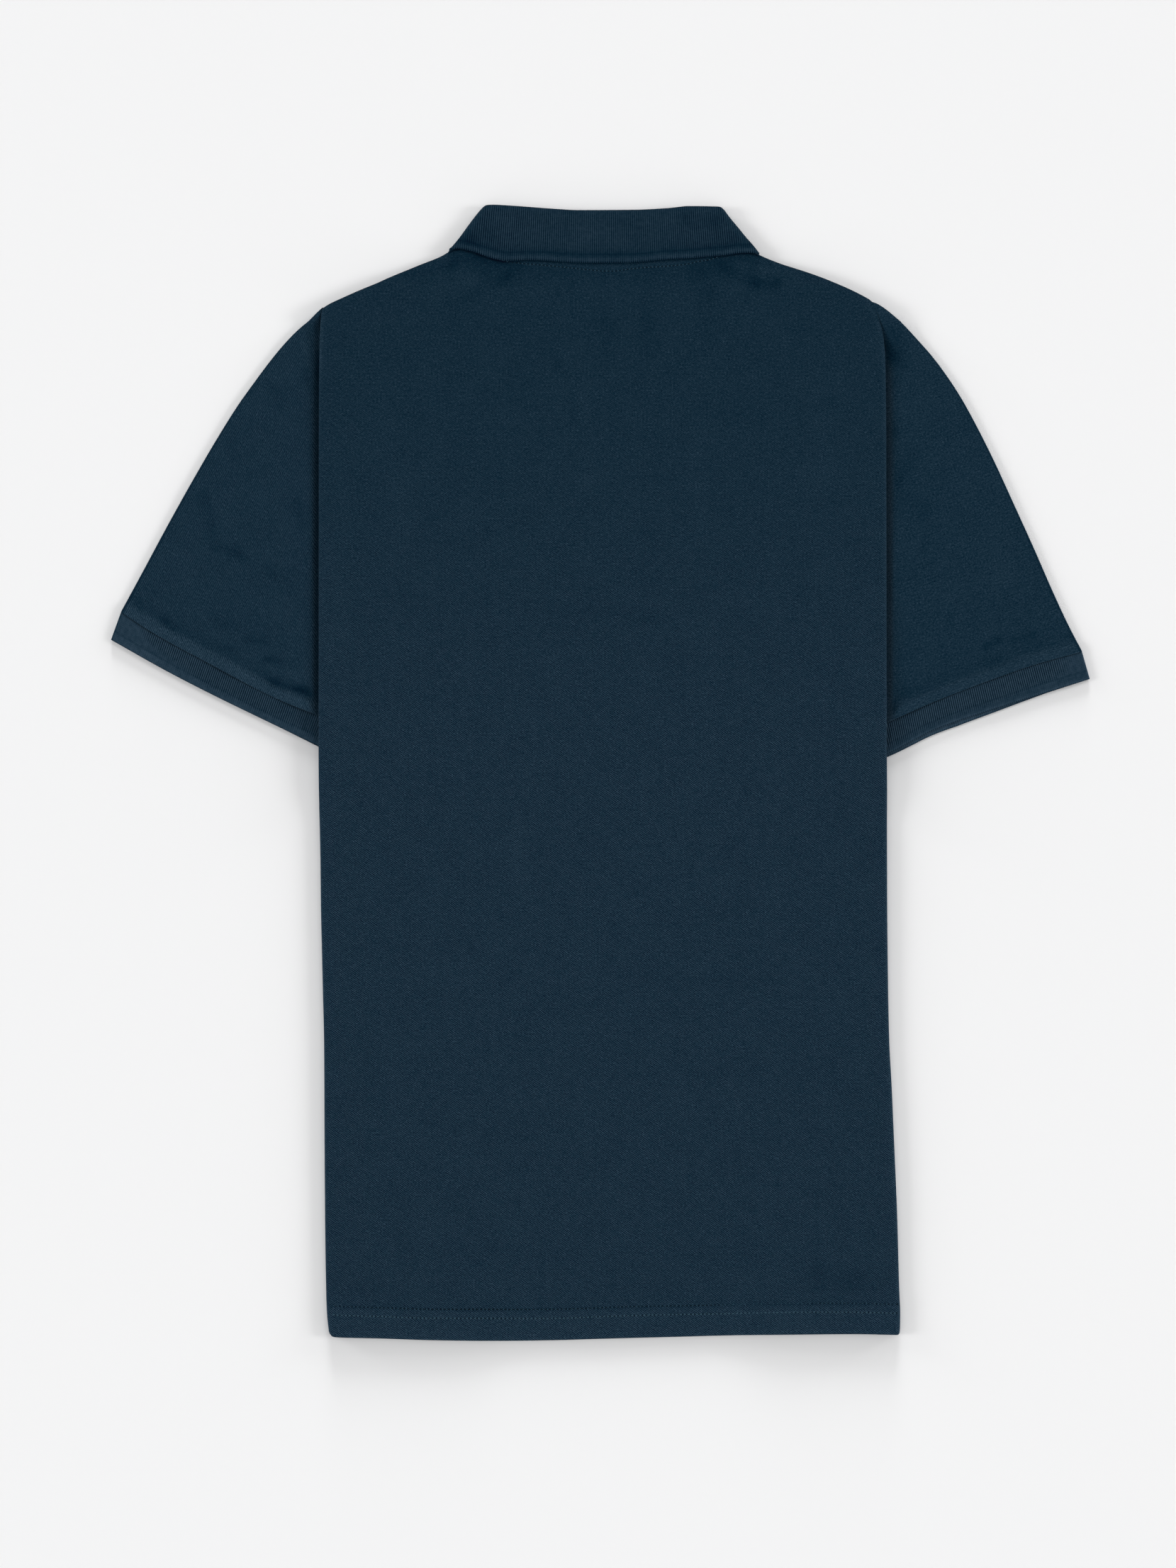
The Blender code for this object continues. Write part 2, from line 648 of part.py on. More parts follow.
def make_collar(finish):
    """Outside: up the leaf, over the fold and down the stand. Inside: the same way back, plain."""
    fold_width = COLLAR_FOLD["across"][-1] - COLLAR_FOLD["across"][0]
    edge_width = LEAF_EDGE["across"][-1] - LEAF_EDGE["across"][0]
    ribs = round((fold_width + edge_width) / 2.0 / COLLAR_RIB_PITCH)
    fine = 2 * ribs - 1
    plain = COLLAR_PLAIN_STATIONS
    band = 1.0 - LEAF_BAND / LEAF_WIDTH
    outside = COLLAR_MIDDLE
    inside = outside - RIB_WALL
    fold_middle = inside - GAP / 2.0

    def hairpin(radius, angle):
        turn = math.radians(angle)
        toward = "leaf" if angle > 0.0 else "seam"
        return collar_row(
            plain, toward, 0.0, fold_middle + radius * math.sin(turn), over=radius * math.cos(turn)
        )

    rows = [
        collar_row(fine, "leaf", 1.0, outside, rib=COLLAR_RIB_HEIGHT / 2.0),
        collar_row(fine, "leaf", band, outside, rib=COLLAR_RIB_HEIGHT),
        collar_row(fine, "leaf", NEAR_FOLD, outside, rib=COLLAR_RIB_HEIGHT),
    ]
    rows += [hairpin(RIB_WALL + GAP / 2.0, angle) for angle in HAIRPIN_ANGLES]
    rows.append(collar_row(plain, "seam", 1.0, fold_middle - RIB_WALL - GAP / 2.0))
    rows.append(collar_row(plain, "seam", 1.0, fold_middle - GAP / 2.0))
    rows += [hairpin(GAP / 2.0, angle) for angle in HAIRPIN_ANGLES[::-1]]
    rows += [collar_row(plain, "leaf", share, inside) for share in (NEAR_FOLD, band, 1.0)]
    return wall("collar", rows, finish, ring=False)


clear_scene()
COLLECTION = bpy.data.collections.new("polo_shirt")
bpy.context.scene.collection.children.link(COLLECTION)
PIQUE = material("pique", CLOTH_COLOUR, 0.85)
RIB_KNIT = material("rib_knit", RIB_COLOUR, 0.85)
BUTTON = material("button", BUTTON_COLOUR, 0.35)

make_back(PIQUE)
make_front(PIQUE)
for shirt_side in ("left", "right"):
    make_sleeve(shirt_side, PIQUE)
    make_cuff(shirt_side, RIB_KNIT)
make_collar(RIB_KNIT)
make_placket("placket_over", 0.0, PIQUE)
make_placket("placket_under", STEP, PIQUE)
for number, button_height in enumerate(BUTTON_ROWS, start=1):
    make_button("button_%d" % number, button_height, BUTTON)
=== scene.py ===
# %% [markdown]
# # A knitted polo shirt, laid flat
# The shirt lies face down with its back showing, so a maker sees, from the top: the folded collar,
# the back panel, two short sleeves with ribbed cuffs, and the stitched hem. The front panel, the
# placket and its buttons are underneath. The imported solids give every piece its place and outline,
# and this lesson puts finer cloth in their place, one sewn piece after another.

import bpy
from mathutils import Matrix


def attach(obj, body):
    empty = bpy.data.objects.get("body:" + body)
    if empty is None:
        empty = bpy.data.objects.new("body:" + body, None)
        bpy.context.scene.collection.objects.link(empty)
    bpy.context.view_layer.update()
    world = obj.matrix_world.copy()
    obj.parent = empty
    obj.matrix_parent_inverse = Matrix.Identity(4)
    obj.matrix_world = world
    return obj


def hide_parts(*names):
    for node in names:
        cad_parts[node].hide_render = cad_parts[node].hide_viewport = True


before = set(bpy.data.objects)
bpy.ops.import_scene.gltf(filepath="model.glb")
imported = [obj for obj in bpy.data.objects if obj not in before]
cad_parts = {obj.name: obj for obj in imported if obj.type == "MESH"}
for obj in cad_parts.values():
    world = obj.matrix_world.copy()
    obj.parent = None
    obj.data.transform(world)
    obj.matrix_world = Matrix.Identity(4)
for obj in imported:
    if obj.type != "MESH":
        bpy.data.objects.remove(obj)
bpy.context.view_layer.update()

# %% [markdown]
# ## Camera, light and floor
# A flat lay is looked at from straight above. A long lens from nearly three metres keeps the sides
# of the cloth out of sight. A pale dome fills every fold, and a wide soft lamp at each side shapes
# the knit. They could all be area lamps close by, but then one end of the table would be brighter,
# so they are suns, which look wide and light evenly. The low table lamps, four round the collar and
# one at each corner of the hem, light only the table: they draw the soft shadow round the shirt
# without brightening the folds.

# %% Camera
import math

import bpy
import bmesh
import numpy as np
from mathutils import Vector

MM = 0.001
VIEW_CENTRE = (-0.0083, -0.0076)
VIEW_HEIGHT = 1.0507
LENS = 100.0
SENSOR = 36.0


def drop_selection():
    """Nothing selected and nothing in edit mode, so that the next operator acts on its own piece."""
    for item in bpy.context.selected_objects:
        item.select_set(False)


drop_selection()
bpy.ops.object.camera_add(
    location=(VIEW_CENTRE[0], VIEW_CENTRE[1], VIEW_HEIGHT * LENS / SENSOR), rotation=(0.0, 0.0, 0.0)
)
camera = bpy.context.object
camera.name = "camera"
camera.data.lens = LENS
camera.data.sensor_width = SENSOR
camera.data.sensor_fit = "AUTO"
camera.data.dof.use_dof = False
bpy.context.scene.camera = camera
bpy.context.scene.view_settings.view_transform = "Standard"
print("camera height, m:", round(camera.location.z, 3))

# %% Light
DOME = 0.445
LAMP_WIDTH = 16.0        # degrees across, as seen from the shirt
LAMP_DISTANCE = 3.0      # a sun lights alike from any distance, so this only keeps them out of the way
LAMPS = [
    # name, compass angle on the table, elevation, strength
    ("lamp_left", 180.0, 22.0, 1.13),
    ("lamp_right", 0.0, 22.0, 1.13),
]
TABLE_LAMPS = ((30.0, 1.2), (60.0, 0.4), (90.0, 3.3), (150.0, 1.3), (225.0, 0.25), (315.0, 0.25))
TABLE_LAMP_ELEVATION = 8.0
for compass, strength in TABLE_LAMPS:
    LAMPS.append(("lamp_table_%d" % compass, compass, TABLE_LAMP_ELEVATION, strength))

world = bpy.data.worlds.new("studio")
world.use_nodes = True
bpy.context.scene.world = world
dome = world.node_tree.nodes["Background"]
dome.inputs["Color"].default_value = (1.0, 1.0, 1.0, 1.0)
dome.inputs["Strength"].default_value = DOME

for lamp_name, compass, elevation, strength in LAMPS:
    around, up = math.radians(compass), math.radians(elevation)
    place = Vector((math.cos(around) * math.cos(up), math.sin(around) * math.cos(up), math.sin(up)))
    bpy.ops.object.light_add(type="SUN", location=place * LAMP_DISTANCE)
    lamp = bpy.context.object
    lamp.name = lamp_name
    lamp.rotation_euler = place.to_track_quat("Z", "Y").to_euler()
    lamp.data.angle = math.radians(LAMP_WIDTH)
    lamp.data.energy = strength
print("lamps:", len(LAMPS))

# %% Floor
FLOOR_SIZE = 24.0
TABLE_WHITE = (0.90, 0.90, 0.905, 1.0)

drop_selection()
bpy.ops.mesh.primitive_plane_add(size=FLOOR_SIZE, location=(0.0, 0.0, 0.0))
floor = bpy.context.object
floor.name = "table_top"
table_paint = bpy.data.materials.new("table_paint")
table_paint.use_nodes = True
paint = table_paint.node_tree.nodes["Principled BSDF"]
paint.inputs["Base Color"].default_value = TABLE_WHITE
paint.inputs["Roughness"].default_value = 0.9
paint.inputs["Specular IOR Level"].default_value = 0.0
floor.data.materials.append(table_paint)

lit_by_table_lamps = bpy.data.collections.new("lit_by_table_lamps")
lit_by_table_lamps.objects.link(floor)
for compass, _ in TABLE_LAMPS:
    bpy.data.objects["lamp_table_%d" % compass].light_linking.receiver_collection = lit_by_table_lamps

# %% [markdown]
# ## The shirt's measures
# Every fold and seam line below is a measured curve, in millimetres, that keeps to the solids. A
# curve that is read from a short table would show a corner at each entry. So the tables are read
# along a soft curve with no overshoot, which is how a cutter blends points with a curved rule.

# %% Measures
WALL = 1.1               # pique
RIB_WALL = 1.5
GAP = 0.3                # air between two layers
STEP = WALL + GAP
STACK_RADIUS = 2.0 * STEP - GAP / 2.0      # the back panel's side fold, round the front panel's
INNER_RADIUS = STEP - GAP / 2.0            # the front panel's side fold
DRAPE_RUN = 72.0         # the panels come down from the stacked sides over this far

HALF_HEIGHT = 380.5      # the outline's middle is the origin, and this is up to its top
SHOULDER_POINT = 308.0
SHOULDER_SLOPE = 0.46
SHOULDER_FLAP = 18.0     # width turned under at the shoulder
SIDE_FLAP = 60.0         # and below the underarm
UNDERARM = 55.0
FLAP_LIP = 4.0
BACK_NECK = 345.0
FRONT_NECK = 270.0
FAN_FROM = 196.0         # rows are level up to here, and above fan out to the shoulders and the neck

SIDES = {
    "height": (
        -380.5, -375.0, -366.0, -350.0, -300.0, -240.0, -210.0, -180.0, -150.0, -120.0, -90.0,
        -60.0, -20.0, 10.0, 223.0, 250.0, 277.0, 288.0, 298.0, 306.0, 313.0,
    ),
    "left": (
        181.6, 182.3, 183.1, 183.6, 184.3, 184.7, 184.8, 185.0, 185.7, 186.4, 187.1,
        187.4, 188.2, 188.5, 188.4, 188.3, 188.0, 187.8, 187.3, 186.4, 184.8,
    ),
    "right": (
        200.2, 200.6, 200.7, 200.1, 198.8, 196.3, 195.0, 193.4, 192.7, 192.3, 192.0,
        191.9, 191.8, 191.6, 191.2, 191.0, 190.4, 189.3, 186.9, 183.7, 179.5,
    ),
}
HEM = {
    "across": (
        -182.0, -181.0, -179.6, -177.0, -170.0, -150.0, -110.0,
        -60.0, -30.0, 0.0, 50.0, 110.0, 170.0, 200.6,
    ),
    "height": (
        -375.2, -376.4, -377.3, -377.8, -378.1, -378.5, -379.8,
        -380.4, -380.0, -379.1, -377.8, -376.3, -375.7, -376.3,
    ),
}
SHOULDER = {
    "left": {
        "across": (91.5, 99.0, 102.6, 110.0, 120.0, 130.0, 140.0, 150.0, 160.0, 170.0, 180.0, 186.0),
        "height": (353.2, 351.2, 347.8, 344.0, 340.1, 335.9, 331.6, 327.0, 322.9, 318.5, 313.9, 310.5),
    },
    "right": {
        "across": (92.0, 101.0, 107.0, 112.0, 120.0, 130.0, 140.0, 150.0, 160.0, 170.0, 180.0, 186.0),
        "height": (351.8, 349.0, 346.2, 343.9, 340.7, 337.3, 333.9, 330.2, 326.1, 321.6, 316.2, 311.9),
    },
}
STACK_LIFT = {"height": (-34.0, -4.0, 50.0, 72.0), "lift": (0.0, 3.3, 3.3, 2.8)}
LEAF_EDGE = {
    # the collar leaf's lower edge, on the back
    "across": (
        -101.4, -99.0, -96.4, -92.0, -85.3, -77.4, -70.7, -62.8, -49.3, -40.3, -22.3, -11.4, 16.2,
        39.4, 50.1, 60.7, 71.3, 81.9, 94.7, 101.1, 105.0, 107.2,
    ),
    "height": (
        348.6, 350.0, 350.8, 350.3, 348.8, 345.9, 343.8, 342.5, 343.0, 342.8, 341.6, 341.2, 341.3,
        343.0, 343.8, 344.3, 345.3, 346.2, 347.8, 347.9, 346.9, 345.5,
    ),
}
TAPE_LINE = {
    # the row of stitches below it, which holds the neck tape
    "across": (-69.8, -57.0, -39.0, -20.4, 7.1, 23.3, 42.3, 57.5, 65.6, 72.2, 82.0),
    "height": (343.9, 341.1, 339.6, 337.7, 335.4, 337.3, 338.7, 340.1, 342.0, 343.0, 346.3),
}

# %% Reading a table, and easing
def soft_curve(places, values, where):
    """A table's value at each place, along a soft curve through its entries."""
    places, values = np.asarray(places, float), np.asarray(values, float)
    width = np.diff(places)
    slope = np.diff(values) / width
    both = slope[:-1] + slope[1:]
    same_way = slope[:-1] * slope[1:] > 0.0
    tangent = np.concatenate([slope[:1], np.zeros(len(values) - 2), slope[-1:]])
    tangent[1:-1] = np.where(same_way, 2.0 * slope[:-1] * slope[1:] / np.where(same_way, both, 1.0), 0.0)
    where = np.clip(where, places[0], places[-1])
    n = np.clip(np.searchsorted(places, where, side="right") - 1, 0, len(width) - 1)
    t = (where - places[n]) / width[n]
    return (
        values[n] * (1.0 + 2.0 * t) * (1.0 - t) ** 2
        + values[n + 1] * t * t * (3.0 - 2.0 * t)
        + width[n] * t * (1.0 - t) * (tangent[n] * (1.0 - t) - tangent[n + 1] * t)
    )


def look_up(table, of, where):
    """A height, read by the place across, or any other measure, read by the height."""
    by = "across" if of == "height" else "height"
    return soft_curve(table[by], table[of], where)


def ease(part):
    """From 0 to 1 with level ends."""
    part = np.clip(part, 0.0, 1.0)
    return part * part * part * (part * (6.0 * part - 15.0) + 10.0)


def along_curve(table, share):
    """Plan points along a table's curve, by share of its length."""
    across, height = np.asarray(table["across"]), np.asarray(table["height"])
    run = np.concatenate([[0.0], np.cumsum(np.hypot(np.diff(across), np.diff(height)))])
    where = np.asarray(share) * run[-1]
    return np.stack([soft_curve(run, across, where), soft_curve(run, height, where)], axis=-1)


def curve_length(table):
    """Length of a table's curve, measured straight from entry to entry."""
    return float(np.hypot(np.diff(table["across"]), np.diff(table["height"])).sum())


print("left shoulder at 150 mm out:", look_up(SHOULDER["left"], "height", np.array([150.0])))

# %% [markdown]
# ## Creases, placed one by one
# Pressed knit keeps a few soft creases: short troughs where the collar pulls, faint lines from the
# shopfloor fold, and a slight unevenness all over. Each crease has its own start, end, width and
# depth, and fades unevenly along its length, because even ones would look printed.

# %% Creases
def crease_field(x, y, creases):
    """Height added by a list of creases (x1, y1, x2, y2, width, height), all in millimetres."""
    total = np.zeros(np.broadcast(x, y).shape)
    for number, (x1, y1, x2, y2, width, height) in enumerate(creases):
        run = math.hypot(x2 - x1, y2 - y1)
        ux, uy = (x2 - x1) / run, (y2 - y1) / run
        along = (x - x1) * ux + (y - y1) * uy
        wander = 0.35 * width * np.sin(along * 5.1 / run + number)
        aside = (y - y1) * ux - (x - x1) * uy + wander
        fade = ease(along / (0.4 * run) + 0.3) * ease((run - along) / (0.4 * run) + 0.3)
        uneven = 0.75 + 0.25 * np.sin(along * 11.0 / run + 1.7 * number)
        total = total + height * uneven * fade * np.exp(-((aside / width) ** 2))
    return total


def unevenness(x, y, size, seed):
    """Gentle waves all over a sheet, from -1 to 1, about this many millimetres from crest to crest."""
    choose = np.random.default_rng(seed)
    total = 0.0
    for _ in range(9):
        heading = choose.uniform(0.0, math.tau)
        length = size * choose.uniform(0.6, 1.7)
        phase = choose.uniform(0.0, math.tau)
        total = total + np.sin((x * math.cos(heading) + y * math.sin(heading)) * math.tau / length + phase)
    return total / 4.5


BACK_CREASES = (
    (-87.0, 347.0, -58.0, 338.6, 2.4, -0.55),
    (-50.8, 339.5, -73.0, 326.5, 3.4, -0.65),
    (-71.0, 327.5, -106.0, 310.0, 3.6, -0.34),
    (-90.0, 343.0, -137.0, 329.5, 3.2, -0.42),
    (-98.0, 333.0, -80.0, 327.0, 6.0, 0.30),
    (73.0, 343.0, 99.0, 330.0, 3.2, -0.50),
    (95.0, 330.5, 122.0, 325.5, 3.8, -1.05),
    (66.0, 341.0, 74.0, 312.0, 5.0, -0.34),
    (90.0, 341.0, 116.0, 334.0, 4.5, 0.38),
    (0.0, 312.0, 9.0, 272.0, 7.0, -0.30),
    (29.0, 310.0, 34.0, 274.0, 5.5, -0.26),
    (-36.0, 292.0, -26.0, 268.0, 4.5, -0.30),
    (-11.5, 266.0, -10.5, 228.0, 2.6, 0.34),
    (-8.0, 225.0, -6.0, 158.0, 3.0, 0.26),
    (64.0, 236.0, 66.0, 160.0, 4.0, 0.22),
    (-34.0, 107.0, 48.0, 103.0, 3.2, -0.30),
    (22.0, -140.0, 122.0, -139.0, 3.0, -0.26),
    (-58.0, -20.0, -54.0, -82.0, 4.0, 0.20),
    (136.0, -330.0, 180.0, -344.0, 8.0, -0.45),
    (-150.0, 250.0, -128.0, 150.0, 9.0, 0.16),
    (150.0, 262.0, 138.0, 170.0, 9.0, 0.16),
)
FRONT_CREASES = (
    (-96.0, 150.0, -70.0, 60.0, 6.0, 0.35),
    (88.0, 140.0, 70.0, 40.0, 6.0, 0.30),
    (-60.0, -90.0, 50.0, -94.0, 4.0, 0.25),
    (20.0, 98.0, 60.0, 20.0, 5.0, 0.25),
)
RELIEF_BASE = 0.55         # the back's cloth lies this far above its solid, before its creases
CREASE_LIGHT_AND_SHADE = 0.48         # painted light and shade: the knit is darker in a crease and paler on a ridge, by this share for each millimetre
print("creases on the back:", len(BACK_CREASES))

# %% [markdown]
# ## How high the layers lie
# From the table up there is the front panel, then the back panel. Along both sides the two are
# turned under together, so four layers lie there, and over the buttons and the collar's leaves the
# cloth swells. These height functions keep each layer a hair above the one under it.

# %% Heights
PLACKET_HALF = 15.0
PLACKET_END = 125.0
PLACKET_TOP = 269.0
BUTTON_ROWS = (256.0, 203.0, 150.0)
BUTTON_RADIUS = 5.75
BUTTON_THICK = 2.2
COLLAR_MIDDLE = 2.0 * RIB_WALL + 1.5 * GAP
RAISED = {
    # what the cloth swells over: half its width, the slope beside it, and up the shirt the height
    # where the swell starts and the height where it is full
    "collar leaves": (118.0, 46.0, 162.0, 208.0),
    "buttons": (22.0, 56.0, 60.0, 130.0),
    "neck": (112.0, 30.0, 190.0, 255.0),
}
BUTTON_REACH = (9.0, 23.0)       # the swell over a button is full up to here, and ends there
NECK_EASING = (270.0, 325.0)     # between these heights the back's swell comes down to the neck's


def side_edge(x, y):
    """Distance of the folded side from the middle line, on the side where x is."""
    return np.where(x < 0.0, look_up(SIDES, "left", y), look_up(SIDES, "right", y))


def flap(y):
    """Width turned under: up to the side seam, and above the underarm to the armhole's curve."""
    up = (SHOULDER_POINT - y) / (SHOULDER_POINT - UNDERARM)
    return SHOULDER_FLAP + (SIDE_FLAP - SHOULDER_FLAP) * np.clip(up, 0.0, 1.0) ** 4


def raised(over, x, y):
    """1 over what lifts the cloth, falling to 0 beside and below it."""
    half, fall, none, full = RAISED[over]
    beside = ease((np.abs(x) - half) / fall)
    up = ease((y - none) / (full - none))
    return up * (1.0 - beside)


def button_share(x, y):
    """1 over a button, falling to 0 round it."""
    near, far = BUTTON_REACH
    away = np.min([np.hypot(x, y - row) for row in BUTTON_ROWS], axis=0)
    return 1.0 - ease((away - near) / (far - near))


def blended(*heights):
    """The highest of several heights, with its inner corners rounded."""
    return np.sum([np.asarray(height) ** 6 for height in heights], axis=0) ** (1.0 / 6.0)


def front_lift(x, y):
    """Height of the front panel's underside, over the flaps, the collar's leaves and the buttons."""
    seat = side_edge(x, y) - flap(y) - FLAP_LIP
    stack = 2.0 * STEP + look_up(STACK_LIFT, "lift", y)
    over_flaps = stack * (1.0 - ease((seat - np.abs(x)) / DRAPE_RUN))
    over_leaves = (RIB_WALL + GAP) * raised("collar leaves", x, y)
    over_buttons = (BUTTON_THICK + GAP) * button_share(x, y)
    waves = 0.18 * (1.0 + unevenness(x, y, 120.0, 5)) * ease((seat - np.abs(x)) / 30.0)
    return blended(over_flaps, over_leaves, over_buttons) + waves


def back_lift(x, y):
    """Height of the back panel's underside: one swell over the placket, then down to the neckline."""
    at_neck = COLLAR_MIDDLE + GAP / 2.0
    swell = 2.0 * STEP + BUTTON_THICK + 2.0 * GAP
    first, last = NECK_EASING
    swell = swell + (at_neck - swell) * ease((y - first) / (last - first))
    return blended(
        front_lift(x, y) + STEP,
        swell * raised("buttons", x, y),
        at_neck * raised("neck", x, y),
    )


HEM_ROWS = (15.0, 21.0)          # the two rows of stitches, above the hem's edge
NECKLINE_CALM = (316.0, 338.0)   # the relief dies away here, where the collar lies on the back
NECKLINE_HALF = 112.0
HEM_FOLD = (0.45, 21.5, 4.0)     # the turned-up cloth raises the hem: by how much, up to where, its slope
ROW_DENT = (0.35, 1.1)           # a row of stitches pulls the cloth in: depth, half width
LEAF_DENT = (0.70, 0.8, 0.7)     # the leaf's edge presses it in: depth, how far below, half width
TAPE_RISE = 0.30


def hem_height(x):
    """Height of the hem's edge at this place across."""
    return soft_curve(HEM["across"], HEM["height"], x)


def line_share(where, at, width):
    """1 on a line, falling softly to 0 on both sides of it."""
    return np.exp(-(((where - at) / width) ** 2))


def neck_lines(x, y):
    """Distance below the collar leaf's edge, and the share of the band between it and its stitches."""
    at_collar = (x > LEAF_EDGE["across"][0]) & (x < LEAF_EDGE["across"][-1])
    below = np.where(at_collar, look_up(LEAF_EDGE, "height", x) - y, 99.0)
    tape = ease((y - look_up(TAPE_LINE, "height", x) - 0.2) / 1.2)
    tape = tape * ((x > TAPE_LINE["across"][0]) & (x < TAPE_LINE["across"][-1]))
    return below, tape


def back_relief(x, y):
    """What the finer cloth adds on the back: unevenness, creases, the turned-up hem and its rows."""
    soft = 0.22 * unevenness(x, y, 95.0, 3) + 0.10 * unevenness(x, y, 38.0, 4)
    calm = 1.0 - ease((y - NECKLINE_CALM[0]) / (NECKLINE_CALM[1] - NECKLINE_CALM[0]))
    near_neck = 1.0 - (1.0 - calm) * (np.abs(x) < NECKLINE_HALF)
    above_hem = y - hem_height(x)
    rise, ends_at, slope = HEM_FOLD
    hem = rise * (1.0 - ease((above_hem - ends_at) / slope))
    for row in HEM_ROWS:
        hem = hem - ROW_DENT[0] * line_share(above_hem, row, ROW_DENT[1])
    creases = crease_field(x, y, BACK_CREASES)
    below_leaf, tape = neck_lines(x, y)
    neck = TAPE_RISE * tape - LEAF_DENT[0] * line_share(below_leaf, *LEAF_DENT[1:])
    return (RELIEF_BASE + soft) * near_neck + creases * (0.3 + 0.7 * near_neck) + hem + neck


# Tones are shares by which the cloth is paler, or darker below 0. On the back they are painted light and
# shade.
# painted light over the raised hem fold, its edge and its lower row; painted shade in the upper row's groove
HEM_LIGHT_AND_SHADE = {"fold": 0.07, "edge": 0.10, "lower row": 0.06, "upper row": -0.28}
LIP_HIGHLIGHTS = {"left": (0.01, 0.27), "right": (0.15, 0.08)}    # painted highlight on the side fold's rounded lip: along the fold, and added high up
LIP_RISE = (240.0, 45.0)         # which comes in from this height, over this many millimetres
# painted light on the raised neck tape, and a painted shadow line along the leaf's edge
NECK_LIGHT_AND_SHADOW = {"tape": 0.14, "leaf's contact": -0.52}
NECK_SHADE = 0.20                # the cloth is darker below the leaf, most at its two ends
NECK_SHADE_RUN = 26.0


def back_painted_light(x, y):
    """Painted light and shade on the back: paler on raised cloth and rounded edges, darker in creases and
    grooves.
    """
    above_hem = y - hem_height(x)
    inside = side_edge(x, y) - np.abs(x)
    below_leaf, tape = neck_lines(x, y)
    hem = HEM_LIGHT_AND_SHADE["fold"] * (1.0 - ease((above_hem - 18.0) / 3.0))
    hem = hem + HEM_LIGHT_AND_SHADE["edge"] * line_share(above_hem, 1.5, 1.6)
    hem = hem + HEM_LIGHT_AND_SHADE["upper row"] * line_share(above_hem, HEM_ROWS[1], 0.8)
    hem = hem + HEM_LIGHT_AND_SHADE["lower row"] * line_share(above_hem, HEM_ROWS[0], 1.2)
    high = ease((y - LIP_RISE[0]) / LIP_RISE[1])
    left_lip, right_lip = (low + more * high for low, more in LIP_HIGHLIGHTS.values())
    lip_highlights = np.where(x < 0.0, left_lip, right_lip) * line_share(inside, 1.2, 1.4)
    neck = NECK_LIGHT_AND_SHADOW["tape"] * tape + NECK_LIGHT_AND_SHADOW["leaf's contact"] * line_share(below_leaf, 0.55, 0.60)
    at_ends = 0.7 + 0.5 * ease((np.abs(x) - 40.0) / 40.0)
    neck = neck - NECK_SHADE * (1.0 - ease(below_leaf / NECK_SHADE_RUN)) * at_ends
    return CREASE_LIGHT_AND_SHADE * crease_field(x, y, BACK_CREASES) + hem + lip_highlights + neck


print("back's swell over the placket, mm:", back_lift(np.array([0.0]), np.array([203.0])))

# %% [markdown]
# ## From a grid of points to a wall of cloth
# Every cut piece here is a sheet: rows and columns of points that follow the grain. It could be
# draped by simulation, but a pressed and folded shirt is too regular for that. So the outer side is
# laid out point by point, a UV map is measured along the cloth so that the knit keeps its true size,
# and Solidify gives it a wall. A small bevel rounds the cut edges.

